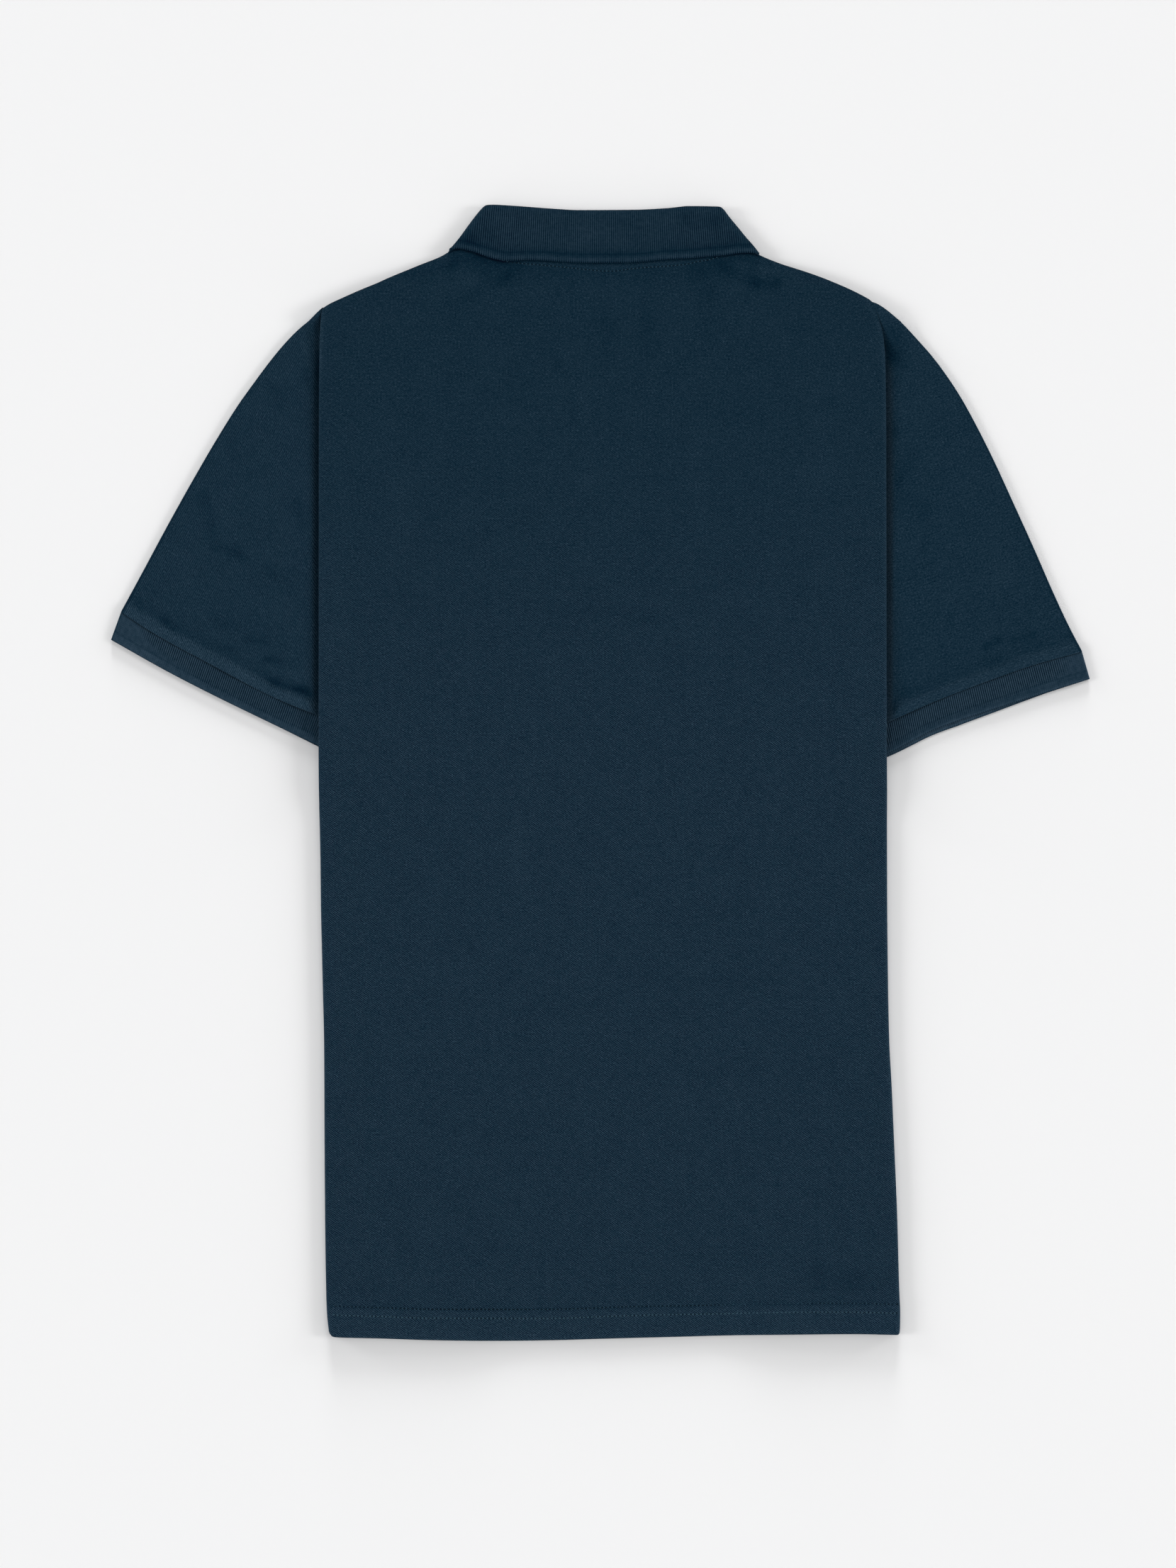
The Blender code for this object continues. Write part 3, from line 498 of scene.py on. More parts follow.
# %% Making a sheet
def cloth_wall(name, grid, thick, finish, around=False, skip=None, lengths=None, rim=0.4, marks=()):
    """A piece of cloth from points (rows, columns, xyz) in mm, its outer side first.

    around joins each row's end to its start, skip marks faces to leave out, and lengths gives the
    places along the cloth, (u, v) in mm, where they aren't simply measured. marks are (name, values)
    pairs, a value for each point, that the finish reads.
    """
    rows, columns = grid.shape[:2]
    closed = np.concatenate([grid, grid[:, :1]], axis=1) if around else grid
    steps = np.linalg.norm(np.diff(closed, axis=1), axis=2)
    climbs = np.linalg.norm(np.diff(closed, axis=0), axis=2)
    if lengths is None:
        u = np.concatenate([np.zeros((rows, 1)), np.cumsum(steps, axis=1)], axis=1)
        v = np.concatenate([[0.0], np.cumsum(climbs.mean(axis=1))])
        v = np.repeat(v[:, None], closed.shape[1], axis=1)
    else:
        u, v = lengths
    wide = closed.shape[1] - 1
    faces, uvs = [], []
    for row in range(rows - 1):
        for column in range(wide):
            if skip is not None and skip[row, column]:
                continue
            right = (column + 1) % columns
            faces.append((
                row * columns + column, row * columns + right,
                (row + 1) * columns + right, (row + 1) * columns + column,
            ))
            for r, c in ((row, column), (row, column + 1), (row + 1, column + 1), (row + 1, column)):
                uvs.append((MM * u[r, c], MM * v[r, c]))
    mesh = bpy.data.meshes.new(name)
    mesh.from_pydata((grid.reshape(-1, 3) * MM).tolist(), [], faces)
    mesh.uv_layers.new(name="cloth").data.foreach_set("uv", np.array(uvs, dtype=np.float32).ravel())
    for mark, values in marks:
        layer = mesh.attributes.new(mark, "FLOAT", "POINT")
        layer.data.foreach_set("value", np.asarray(values, dtype=np.float32).ravel())
    build = bmesh.new()
    build.from_mesh(mesh)
    loose = [vertex for vertex in build.verts if not vertex.link_faces]
    bmesh.ops.delete(build, geom=loose, context="VERTS")
    build.to_mesh(mesh)
    build.free()
    mesh.materials.append(finish)
    piece = bpy.data.objects.new(name, mesh)
    bpy.context.collection.objects.link(piece)
    drop_selection()
    piece.select_set(True)
    bpy.context.view_layer.objects.active = piece
    area = sum(face.area for face in mesh.polygons)
    wall = piece.modifiers.new("Wall", "SOLIDIFY")
    wall.thickness = MM * thick
    wall.offset = -1.0
    bpy.ops.object.modifier_apply(modifier=wall.name)
    if rim:
        bevel = piece.modifiers.new("Rim", "BEVEL")
        bevel.width = MM * rim
        bevel.segments = 2
        bevel.limit_method = "ANGLE"
        bevel.angle_limit = math.radians(60.0)
        bpy.ops.object.modifier_apply(modifier=bevel.name)
    bpy.ops.object.shade_smooth()
    size = (MM * float(steps.sum(axis=1).max()), MM * float(climbs.sum(axis=0).mean()))
    triangles = sum(len(face.vertices) - 2 for face in piece.data.polygons)
    print("%s: %d triangles, cut %.3f x %.3f m, area %.4f m2" % (name, triangles, *size, area))
    return piece, size, area


def declare_sheet(made, node):
    piece, size, area = made
    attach(piece, "root")
    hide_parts(node)


# %% [markdown]
# ## Pique knit
# Pique is a knit of tuck stitches: small raised cells that stand in slanting rows, one family of
# slants plainer than the other. It could be an image, but it is drawn here with two sets of waves
# across the UV map, in millimetres, so that each cell has its true size of about 1 mm on every
# piece. Uneven yarn, short streaks along the courses and larger cloudy patches break it up.

# %% Pique
CLOTH_COLOUR = (0.0116, 0.0360, 0.0619)
RIB_COLOUR = (0.0120, 0.0352, 0.0604)
COLOUR_DEPTH = (2.0, 1.0, 0.79)      # red varies most with the tone, blue least, in the knit's own tone and in its painted light and shade alike
DARKEST = (0.0004, 0.0004, 0.0004)
KNIT_LOOK = {"roughness": 0.9, "specular": 0.06, "sheen": 0.03}
PIQUE_SLANTS = (
    # direction across the lines, pitch in mm
    ((0.568, 0.823), 1.11),
    ((-0.616, 0.788), 1.00),
)
YARN_CONTRAST = 1.7
PIQUE_TONES = {"specks": 1.5, "streaks": 0.42, "patches": 0.34, "clouds": 0.28}
GLINTS = (0.60, 2.6)     # specks over this value glint, and by how much
COURSE_STREAKS = (190.0, 800.0, 1.0)   # noise cells for each metre: long along the courses
PIQUE_DARKEST = 0.12
PIQUE_BUMP = 0.10        # mm


class Recipe:
    """A material's node tree, built by naming what is mixed with what."""

    def __init__(self, name, roughness, specular, sheen):
        self.material = bpy.data.materials.new(name)
        self.material.use_nodes = True
        self.tree = self.material.node_tree
        self.shader = self.tree.nodes["Principled BSDF"]
        self.shader.inputs["Metallic"].default_value = 0.0
        self.shader.inputs["Roughness"].default_value = roughness
        self.shader.inputs["Specular IOR Level"].default_value = specular
        self.shader.inputs["Sheen Weight"].default_value = sheen
        self.shader.inputs["Sheen Roughness"].default_value = 0.5
        self.places = self.tree.nodes.new("ShaderNodeTexCoord")

    def feed(self, socket, value):
        """Gives a socket a fixed value, or links another node's output to it."""
        if isinstance(value, (int, float, tuple)):
            socket.default_value = value
        else:
            self.tree.links.new(value, socket)

    def maths(self, operation, first, second=0.0, third=None):
        """A sum or function of numbers or of other nodes' outputs."""
        node = self.tree.nodes.new("ShaderNodeMath")
        node.operation = operation
        self.feed(node.inputs[0], first)
        self.feed(node.inputs[1], second)
        if third is not None:
            self.feed(node.inputs[2], third)
        return node.outputs[0]

    def vector(self, operation, first, second):
        """The same for places and colours."""
        node = self.tree.nodes.new("ShaderNodeVectorMath")
        node.operation = operation
        self.feed(node.inputs[0], first)
        self.feed(node.inputs["Scale"] if operation == "SCALE" else node.inputs[1], second)
        return node.outputs["Value"] if operation == "DOT_PRODUCT" else node.outputs["Vector"]

    def noise(self, where, scale, detail=1.0, stretch=None):
        """Noise with this many cells a metre, as a value and as a colour."""
        if stretch:
            where = self.vector("MULTIPLY", where, stretch)
        node = self.tree.nodes.new("ShaderNodeTexNoise")
        node.inputs["Scale"].default_value = scale
        node.inputs["Detail"].default_value = detail
        self.tree.links.new(where, node.inputs["Vector"])
        return node.outputs["Fac"], node.outputs["Color"]

    def waves(self, where, heading, pitch_mm):
        """Even waves, from -1 to 1, that run along this heading."""
        per_metre = math.tau / (pitch_mm * MM)
        dotted = self.vector("DOT_PRODUCT", where, (heading[0] * per_metre, heading[1] * per_metre, 0.0))
        return self.maths("SINE", dotted)

    def mark(self, name):
        """A value that was laid on the cloth's points."""
        node = self.tree.nodes.new("ShaderNodeAttribute")
        node.attribute_name = name
        return node.outputs["Fac"]

    def line(self, where, at_mm, width_mm):
        """1 on a line across the cloth, falling to 0 on both sides of it."""
        aside = self.maths("DIVIDE", self.maths("SUBTRACT", where, at_mm * MM), width_mm * MM)
        return self.maths("EXPONENT", self.maths("MULTIPLY", self.maths("MULTIPLY", aside, aside), -1.0))

    def vary(self, tone, noise, amount):
        """The tone, made uneven by a noise."""
        return self.maths("MULTIPLY_ADD", self.maths("SUBTRACT", noise, 0.5), amount, tone)

    def colour(self, base, tone, depth=(1.0, 1.0, 1.0)):
        """The base colour, each of its channels following the tone by its own depth."""
        change = tuple(part * share for part, share in zip(base, depth))
        moved = self.vector("SCALE", change, self.maths("SUBTRACT", tone, 1.0))
        moved = self.vector("MAXIMUM", self.vector("ADD", moved, base), DARKEST)
        self.tree.links.new(moved, self.shader.inputs["Base Color"])

    def bump(self, height, distance_mm):
        """Shading as if the surface rose and fell by this much, without changing the mesh."""
        node = self.tree.nodes.new("ShaderNodeBump")
        node.inputs["Strength"].default_value = 1.0
        node.inputs["Distance"].default_value = MM * distance_mm
        self.tree.links.new(height, node.inputs["Height"])
        self.tree.links.new(node.outputs["Normal"], self.shader.inputs["Normal"])


def pique_cloth(name, grain, shares, fuzz, fade=None):
    """Pique whose courses are turned by this many degrees.

    shares is how strongly each family of slants shows, and fuzz how uneven the yarn is. fade, which
    is (from y, to y, first tone, last tone) in metres, darkens the cloth up the shirt and softens its
    cells, five times as fast.
    """
    recipe = Recipe(name, **KNIT_LOOK)
    turned = recipe.tree.nodes.new("ShaderNodeMapping")
    turned.inputs["Rotation"].default_value = (0.0, 0.0, -math.radians(grain))
    recipe.tree.links.new(recipe.places.outputs["UV"], turned.inputs["Vector"])
    where = turned.outputs["Vector"]
    _, wobble = recipe.noise(where, 420.0, 2.0)
    wobble = recipe.vector("SCALE", recipe.vector("SUBTRACT", wobble, (0.5, 0.5, 0.5)), 1.0 * MM)
    loose = recipe.vector("ADD", where, wobble)
    loops = None
    for (heading, pitch), share in zip(PIQUE_SLANTS, shares):
        family = recipe.maths("MULTIPLY", recipe.waves(loose, heading, pitch), share)
        loops = family if loops is None else recipe.maths("ADD", loops, family)
    yarn, _ = recipe.noise(where, 1900.0, 2.0)
    specks, _ = recipe.noise(where, 820.0, 1.0)
    streaks, _ = recipe.noise(where, 1.0, 2.0, stretch=COURSE_STREAKS)
    patches, _ = recipe.noise(where, 190.0, 3.0)
    clouds, _ = recipe.noise(where, 48.0, 3.0)
    plain = recipe.maths("MULTIPLY_ADD", patches, 1.5, 0.25)
    faded = 1.0
    if fade:
        split = recipe.tree.nodes.new("ShaderNodeSeparateXYZ")
        recipe.tree.links.new(recipe.places.outputs["Object"], split.inputs[0])
        spread = recipe.tree.nodes.new("ShaderNodeMapRange")
        spread.interpolation_type = "SMOOTHSTEP"
        recipe.tree.links.new(split.outputs["Y"], spread.inputs["Value"])
        for socket, value in zip(("From Min", "From Max", "To Min", "To Max"), fade):
            spread.inputs[socket].default_value = value
        faded = spread.outputs["Result"]
        plain = recipe.maths("MULTIPLY", plain, recipe.maths("MULTIPLY_ADD", faded, 5.0, -4.0))
    tone = recipe.maths("MULTIPLY_ADD", loops, plain, 1.0)
    tone = recipe.vary(tone, yarn, fuzz * YARN_CONTRAST)
    glints = recipe.maths("MAXIMUM", recipe.maths("SUBTRACT", specks, GLINTS[0]), 0.0)
    tone = recipe.maths("MULTIPLY_ADD", glints, GLINTS[1], tone)
    tone = recipe.vary(tone, specks, PIQUE_TONES["specks"] * fuzz)
    tone = recipe.vary(tone, streaks, PIQUE_TONES["streaks"])
    tone = recipe.vary(tone, patches, PIQUE_TONES["patches"])
    tone = recipe.vary(tone, clouds, PIQUE_TONES["clouds"])
    tone = recipe.maths("MULTIPLY", tone, faded)
    # the piece's own tone and its painted light and shade, laid on its points
    tone = recipe.maths("MULTIPLY", tone, recipe.maths("ADD", recipe.mark("tone_and_painted_light"), 1.0))
    recipe.colour(CLOTH_COLOUR, recipe.maths("MAXIMUM", tone, PIQUE_DARKEST), COLOUR_DEPTH)
    height = recipe.maths("MULTIPLY_ADD", yarn, 0.6, loops)
    recipe.bump(height, PIQUE_BUMP)
    return recipe.material


PIQUE_BODY = pique_cloth("pique_body", 0.0, (0.74, 0.40), 1.0, fade=(0.0, 0.33, 1.0, 0.84))
PIQUE_LEFT = pique_cloth("pique_sleeve_left", -29.4, (0.50, 0.03), 0.85)
PIQUE_RIGHT = pique_cloth("pique_sleeve_right", 20.5, (0.17, 0.15), 1.05)
print("pique cells:", [pitch for _, pitch in PIQUE_SLANTS], "mm")

# %% [markdown]
# ## Front and back panels
# The back panel runs from seam to seam: up from the hem to the shoulders, and at each side round the
# fold and some way in underneath, where its edge meets the front panel's. The front panel lies inside
# it and has a slot for the placket. Both could be cut flat and folded by simulation. They are laid
# out in rows from seam to seam instead, because the fold must keep its place to a millimetre.

# %% Panel grids
def shoulder_height(left, across):
    """The shoulder seam's height, on the left side or the right one."""
    return look_up(SHOULDER["left" if left else "right"], "height", across)


def back_top(left, across):
    """The back panel's upper edge: a shallow neckline, then the shoulder."""
    neck = SHOULDER["left" if left else "right"]["across"][0]
    neckline = BACK_NECK + (shoulder_height(left, neck) - BACK_NECK) * (across / neck) ** 2
    return np.where(across >= neck, shoulder_height(left, across), neckline)


FRONT_SET_IN = 1.6       # the front panel's upper edge lies this far below the back's


def front_top(left, across):
    """The front panel's upper edge: a quarter of an oval, then the shoulder, set in under the back."""
    neck = SHOULDER["left" if left else "right"]["across"][0]
    deep = np.sqrt(np.clip(1.0 - (across / neck) ** 2, 0.0, 1.0))
    oval = shoulder_height(left, neck) - (shoulder_height(left, neck) - FRONT_NECK) * deep
    return np.where(across >= neck, shoulder_height(left, across), oval) - FRONT_SET_IN


def shoulder_crisp(y):
    """How much squarer the side fold turns, near the shoulder point."""
    return 0.55 * ease((y - 280.0) / 22.0)


CURL_TURNS = np.radians((90.0, 62.0, 34.0))      # rows round a curled edge, the outermost first
FOLD_TURNS = np.radians(np.linspace(0.0, 180.0, 13)[1:])[None]
UNDER_SHARES = np.linspace(0.0, 1.0, 9)[1:][None]
HEM_FOLLOWS = 80.0       # rows this near the hem bend with its edge


def panel_grid(top_of, rise_of, relief_of, radius, start, rows, flat_columns, roll):
    """Points of a panel's outer side, hem first, each row from the left seam to the right one.

    top_of, rise_of and relief_of give the upper edge, the height of the underside and what is added
    to it. radius is the side fold's, and start is how far from the middle line each half begins. rows
    are the level rows' heights and the fanned rows' shares of the way to the upper edge. roll is how
    far the edges at hem and top curl in towards the other panel.
    """
    level, fan = rows
    base = np.concatenate([level, np.full(len(fan), FAN_FROM)])[:, None]
    share = np.concatenate([np.zeros(len(level)), fan])[:, None]
    curl = np.zeros(len(base))
    if roll:
        extra = (len(CURL_TURNS), 1)
        base = np.concatenate([np.full(extra, -HALF_HEIGHT), base, np.full(extra, FAN_FROM)])
        share = np.concatenate([np.zeros(extra), share, np.ones(extra)])
        curl = np.concatenate([CURL_TURNS, np.zeros(len(curl)), CURL_TURNS[::-1]])
    curl = curl[:, None]
    near_hem = (1.0 - ease((base + HALF_HEIGHT) / HEM_FOLLOWS)) * (share == 0.0)
    nominal = base + share * (SHOULDER_POINT - FAN_FROM)
    halves = []
    for left in (True, False):
        sign = -1.0 if left else 1.0
        reach = look_up(SIDES, "left" if left else "right", nominal) - STACK_RADIUS

        def climb(across, top):
            """Each row's height at this place across, between the hem's edge and the upper one."""
            return base + share * (top - FAN_FROM) + near_hem * (hem_height(sign * across) + HALF_HEIGHT)

        # the flat part, its columns closer towards the fold
        part = 1.0 - (1.0 - np.linspace(0.0, 1.0, flat_columns)[None]) ** 1.25
        across = start + part * (reach - start)
        height = climb(across, top_of(left, across))
        spot = (sign * across, height)
        flat = [*spot, rise_of(*spot) + WALL + relief_of(*spot)]
        # round the fold
        crisp = 1.0 - shoulder_crisp(nominal)
        aside = radius * np.abs(np.sin(FOLD_TURNS)) ** crisp
        above = radius * np.sign(np.cos(FOLD_TURNS)) * np.abs(np.cos(FOLD_TURNS)) ** crisp
        out = reach + aside
        height = climb(out, top_of(left, out))
        middle = look_up(STACK_LIFT, "lift", height) + STACK_RADIUS
        lifted = relief_of(sign * out, height) * (1.0 + above / radius) / 2.0
        fold = [sign * out, height, middle + above + lifted]
        # and back in underneath
        back_in = UNDER_SHARES * (flap(nominal) - STACK_RADIUS)
        height = climb(reach - back_in, top_of(left, reach) - SHOULDER_SLOPE * (back_in + 2.0 * STACK_RADIUS))
        bottom = look_up(STACK_LIFT, "lift", height) + STACK_RADIUS - radius
        under = [sign * (reach - back_in), height, bottom]
        points = np.stack([np.concatenate(three, axis=1) for three in zip(flat, fold, under)], axis=2)
        if roll:
            beneath = np.full(UNDER_SHARES.size, math.pi)
            angle = np.concatenate([np.zeros(flat_columns), FOLD_TURNS[0], beneath])[None]
            first = np.arange(len(base))[:, None] < len(base) / 2
            inset = roll * (1.0 - np.sin(curl)) * (curl > 0.0)
            points[..., 1] += np.where(first, inset, -inset)
            sunk = roll * (1.0 - np.cos(curl))
            points[..., 0] -= sunk * sign * np.sin(angle)
            points[..., 2] -= sunk * np.cos(angle)
        halves.append(points)
    left_half, right_half = halves
    left_half = left_half[:, ::-1]
    if start == 0.0:
        left_half = left_half[:, :-1]
    return np.concatenate([left_half, right_half], axis=1)


def plan_lengths(grid):
    """Places along a panel's cloth: across it round its folds, and up it as it lies."""
    steps = np.hypot(np.diff(grid[..., 0], axis=1), np.diff(grid[..., 2], axis=1))
    u = np.concatenate([np.zeros((len(grid), 1)), np.cumsum(steps, axis=1)], axis=1)
    middle = np.argmin(np.abs(grid[len(grid) // 2, :, 0]))
    return u - u[:, middle:middle + 1], grid[..., 1]


# %% The back
EDGE_ROLL = 1.5
EDGE_SHADE = -0.45        # painted shade: rolled edges turn away from the light
BACK_LEVELS = np.concatenate([    # closer rows where the hem's fold and its stitches lie
    -HALF_HEIGHT + np.array([1.6, 4.5, 8.0, 11.0, 13.4, 15.0, 16.6, 18.0, 19.4, 21.0, 22.6, 25.0, 28.0]),
    np.linspace(-HALF_HEIGHT + 33.0, FAN_FROM, 105),
])
BACK_FAN = np.concatenate([np.linspace(0.0, 0.91, 38)[1:], np.arange(0.9165, 0.994, 0.0042)])
BACK_COLUMNS = 72

back_grid = panel_grid(
    back_top, back_lift, back_relief, STACK_RADIUS, 0.0, (BACK_LEVELS, BACK_FAN), BACK_COLUMNS, EDGE_ROLL
)
tone_and_painted_light = back_painted_light(back_grid[..., 0], back_grid[..., 1])
tone_and_painted_light[[-2, -1]] = EDGE_SHADE
back_made = cloth_wall(
    "back_panel", back_grid, WALL, PIQUE_BODY, lengths=plan_lengths(back_grid), marks=[("tone_and_painted_light", tone_and_painted_light)]
)
declare_sheet(back_made, "back")

# %% The front
FRONT_LEVELS = np.concatenate([
    [-HALF_HEIGHT + 2.0, -HALF_HEIGHT + 8.0, -HALF_HEIGHT + 15.0, -HALF_HEIGHT + 22.0],
    np.linspace(-HALF_HEIGHT + 30.0, PLACKET_END - GAP, 60),
    np.linspace(PLACKET_END + 4.0, FAN_FROM, 14),
])
FRONT_FAN = np.linspace(0.0, 1.0, 26)[1:]
FRONT_COLUMNS = 46


def front_relief(x, y):
    """A few creases on the hidden front, which die away before the stacked sides."""
    return crease_field(x, y, FRONT_CREASES) * ease((150.0 - np.abs(x)) / 30.0)


front_grid = panel_grid(
    front_top, front_lift, front_relief, INNER_RADIUS, PLACKET_HALF + GAP,
    (FRONT_LEVELS, FRONT_FAN), FRONT_COLUMNS, 0.0,
)
slot = np.zeros((front_grid.shape[0] - 1, front_grid.shape[1] - 1), bool)     # for the placket
middle = front_grid.shape[1] // 2 - 1
slot[np.searchsorted(FRONT_LEVELS, PLACKET_END - 2.0 * GAP):, middle] = True
front_made = cloth_wall(
    "front_panel", front_grid, WALL, PIQUE_BODY, skip=slot, lengths=plan_lengths(front_grid)
)
declare_sheet(front_made, "front")

# %% [markdown]
# ## Sleeves
# Each sleeve is one piece folded along its top and sewn under the arm, so it lies as a flat tube.
# It tucks beneath the folded side of the body. Just above the cuff the seam allowance inside makes a
# raised band, with a trough above it, and the knit pulls into a few creases near the body.

# %% Sleeve measures
SLEEVE_TOP = {
    "left": {
        "across": (
            172.0, 185.0, 190.3, 194.3, 199.3, 205.6, 213.9, 221.7,
            231.4, 242.8, 256.0, 273.5, 290.2, 306.3, 320.8,
        ),
        "height": (
            317.0, 311.7, 307.1, 303.3, 299.4, 293.6, 284.6, 275.0,
            262.0, 246.0, 225.0, 195.0, 165.0, 135.0, 108.2,
        ),
    },
    "right": {
        "across": (
            173.0, 184.4, 191.6, 196.7, 201.5, 206.2, 212.4, 221.3, 229.0,
            239.8, 248.9, 263.1, 276.9, 290.5, 303.6, 312.9, 322.4,
        ),
        "height": (
            317.0, 313.9, 309.6, 305.6, 301.7, 296.8, 290.0, 280.0, 270.0,
            254.0, 238.0, 210.0, 180.0, 150.0, 120.0, 100.0, 81.6,
        ),
    },
}
CUFF_SEAM = {
    "left": {
        "across": (320.8, 296.9, 259.8, 221.8, 200.5, 178.0),
        "height": (108.2, 92.8, 72.7, 52.6, 43.5, 35.0),
    },
    "right": {
        "across": (322.4, 291.7, 262.7, 222.8, 192.9, 178.0),
        "height": (81.6, 73.2, 63.2, 47.9, 34.7, 28.0),
    },
}
CUFF_EDGE = {
    # peek is how far the under layer shows past the upper one, at even steps along the edge
    "left": {
        "across": (327.8, 292.1, 262.4, 221.8, 196.2, 185.0),
        "height": (89.0, 68.9, 53.5, 33.7, 21.4, 16.0),
        "peek": (0.0, 0.0, 0.0, 0.0, 0.0, 0.5),
    },
    "right": {
        "across": (327.8, 295.5, 266.5, 222.8, 193.8, 182.0),
        "height": (62.7, 52.8, 43.6, 28.5, 13.3, 8.0),
        "peek": (0.0, 0.5, 2.0, 3.3, 2.9, 1.4),
    },
}
SLEEVE_CREASES = {
    "left": (
        (-226.0, 63.5, -189.0, 51.0, 2.6, -1.1),
        (-222.0, 70.0, -188.0, 62.0, 2.6, 0.4),
        (-230.0, 75.5, -211.0, 74.5, 2.3, -0.85),
        (-240.0, 87.0, -221.0, 89.0, 2.6, -0.55),
        (-256.0, 82.5, -243.0, 84.0, 2.3, -0.40),
        (-263.0, 101.5, -242.0, 100.0, 2.8, -0.40),
        (-293.0, 107.0, -285.5, 93.0, 2.8, -0.65),
        (-266.0, 192.0, -260.0, 152.0, 4.0, -0.42),
        (-262.0, 154.0, -233.0, 140.5, 3.2, -0.75),
        (-234.0, 141.0, -202.0, 122.0, 4.0, -0.28),
        (-226.0, 262.0, -211.0, 246.0, 3.2, -0.36),
        (-249.0, 226.0, -240.0, 206.0, 3.6, -0.26),
        (-198.0, 272.0, -194.0, 256.0, 3.0, -0.60),
        (-204.0, 187.0, -199.0, 162.0, 4.0, -0.50),
        (-292.0, 160.0, -278.0, 118.0, 13.0, 0.20),
        (-206.0, 296.0, -193.0, 278.0, 3.4, 0.40),
    ),
    "right": (
        (196.5, 303.0, 197.0, 268.0, 5.5, -0.60),
        (193.5, 290.0, 194.0, 272.0, 2.4, -0.50),
        (193.0, 234.0, 197.0, 222.0, 3.2, -0.70),
        (197.0, 188.0, 212.0, 217.0, 2.8, -0.46),
        (198.0, 181.0, 226.0, 178.0, 7.0, -0.26),
        (214.0, 153.0, 219.0, 151.0, 3.4, -0.36),
        (236.5, 110.0, 233.0, 94.0, 3.2, -0.32),
        (254.0, 84.0, 271.0, 89.0, 2.6, -0.72),
        (272.0, 88.0, 297.0, 92.0, 3.0, -0.46),
        (250.0, 72.0, 280.0, 74.0, 5.0, -0.24),
        (199.0, 52.0, 216.0, 60.0, 4.0, -0.32),
        (192.5, 46.0, 197.0, 40.0, 3.6, -0.90),
        (262.0, 146.0, 280.0, 124.0, 12.0, 0.16),
    ),
}


def armhole_point(side, share):
    """Down the armhole under the body, from the shoulder to the underarm."""
    top = along_curve(SLEEVE_TOP[side], 0.0)
    height = top[1] + share * (UNDERARM - top[1])
    across = look_up(SIDES, side, height) - flap(height)
    curved = np.stack([across, height], axis=-1)
    near_top = (1.0 - ease(share / 0.08))[..., None]
    return curved + near_top * (top - curved)


def sleeve_point(side, along, down):
    """A plan point between the sleeve's four edges: along to the cuff, and down to the underarm."""
    a, d = along[..., None], down[..., None]
    top, seam = along_curve(SLEEVE_TOP[side], along), along_curve(CUFF_SEAM[side], down)
    arm = armhole_point(side, down)
    shoulder, underarm = armhole_point(side, np.zeros(1))[0], armhole_point(side, np.ones(1))[0]
    outer, inner = along_curve(CUFF_SEAM[side], 0.0), along_curve(CUFF_SEAM[side], 1.0)
    bottom = underarm + a * (inner - underarm)
    level = (1.0 - d) * top + d * bottom
    upright = (1.0 - a) * arm + a * seam
    corners = (1.0 - d) * ((1.0 - a) * shoulder + a * outer) + d * bottom
    return level + upright - corners


NARROWEST = 140.0        # no row round a sleeve or a cuff is narrower than this when it lies flat
END_TURNS = (30.0, 60.0, 90.0, 120.0, 150.0)   # columns round each rolled end of the tube


def flat_tube(sign, plan, upper, lower, lift, ribbing=None):
    """Points right round a flat tube, one row for each value along it: over its upper layer, round
    its underarm end, back along the lower layer and round its outer end.

    plan(share, under) gives plan points (rows, columns, 2), under running from 0 to 1. upper and
    lower are the columns' shares of the way across each layer. lift(x, y, share, angle) gives the
    height to add, and ribbing the ribs' on the upper layer.
    """
    half = (STEP + WALL) / 2.0
    end = half / NARROWEST          # the layers stop here, and the rolled ends take over
    places = [(end + share * (1.0 - 2.0 * end), 0.0, 0) for share in upper]
    places += [(1.0, angle, 1) for angle in END_TURNS]
    places += [(end + share * (1.0 - 2.0 * end), 180.0, 2) for share in lower[::-1]]
    places += [(0.0, 180.0 + angle, 3) for angle in END_TURNS]
    share = np.array([place[0] for place in places])
    angle = np.radians([place[1] for place in places])
    part = np.array([place[2] for place in places])
    spot = plan(share, (1.0 - np.cos(angle)) / 2.0)
    middle = plan(np.full(len(share), 0.5), np.full(len(share), 0.5))
    inward = middle - spot
    inward /= np.maximum(np.linalg.norm(inward, axis=-1, keepdims=True), 1e-9)
    at_end = (share == 0.0) | (share == 1.0)
    drawn_in = at_end * (half - half * np.abs(np.sin(angle)))
    spot = spot + drawn_in[None, :, None] * inward
    height = np.broadcast_to(half + half * np.cos(angle), spot.shape[:2]).copy()
    if ribbing is not None:
        height[:, part == 0] += ribbing
    height += lift(sign * spot[..., 0], spot[..., 1], share, angle)
    return np.stack([sign * spot[..., 0], spot[..., 1], height], axis=2)


# %% Sleeves
UNDER_ROWS = np.linspace(0.0, 1.0, 7)[:-1]     # from the armhole to the body's folded edge
OPEN_ROWS = np.concatenate([                   # and from there to the band above the cuff, then the cuff
    [0.0, 0.004, 0.010, 0.018, 0.028, 0.040, 0.055, 0.072], np.linspace(0.09, 0.84, 38),
    np.linspace(0.85, 0.99, 22), [1.0],
])
OVERHANG = (0.45, 0.8)                         # the seam's rolled edge reaches this far over the cuff
ROLLED = (0.12, 0.5)
SLEEVE_SHARES = np.concatenate([[0.0, 0.006, 0.014, 0.024], np.linspace(0.036, 0.976, 54), [0.988, 1.0]])
SEAM_BAND = 6.2          # the seam allowance lies this far up inside the sleeve
SEAM_BAND_RISE = 0.95
TROUGH_DEPTH = 0.55
SEAM_DENT = 0.3          # the stitching pulls the band in, just at the seam
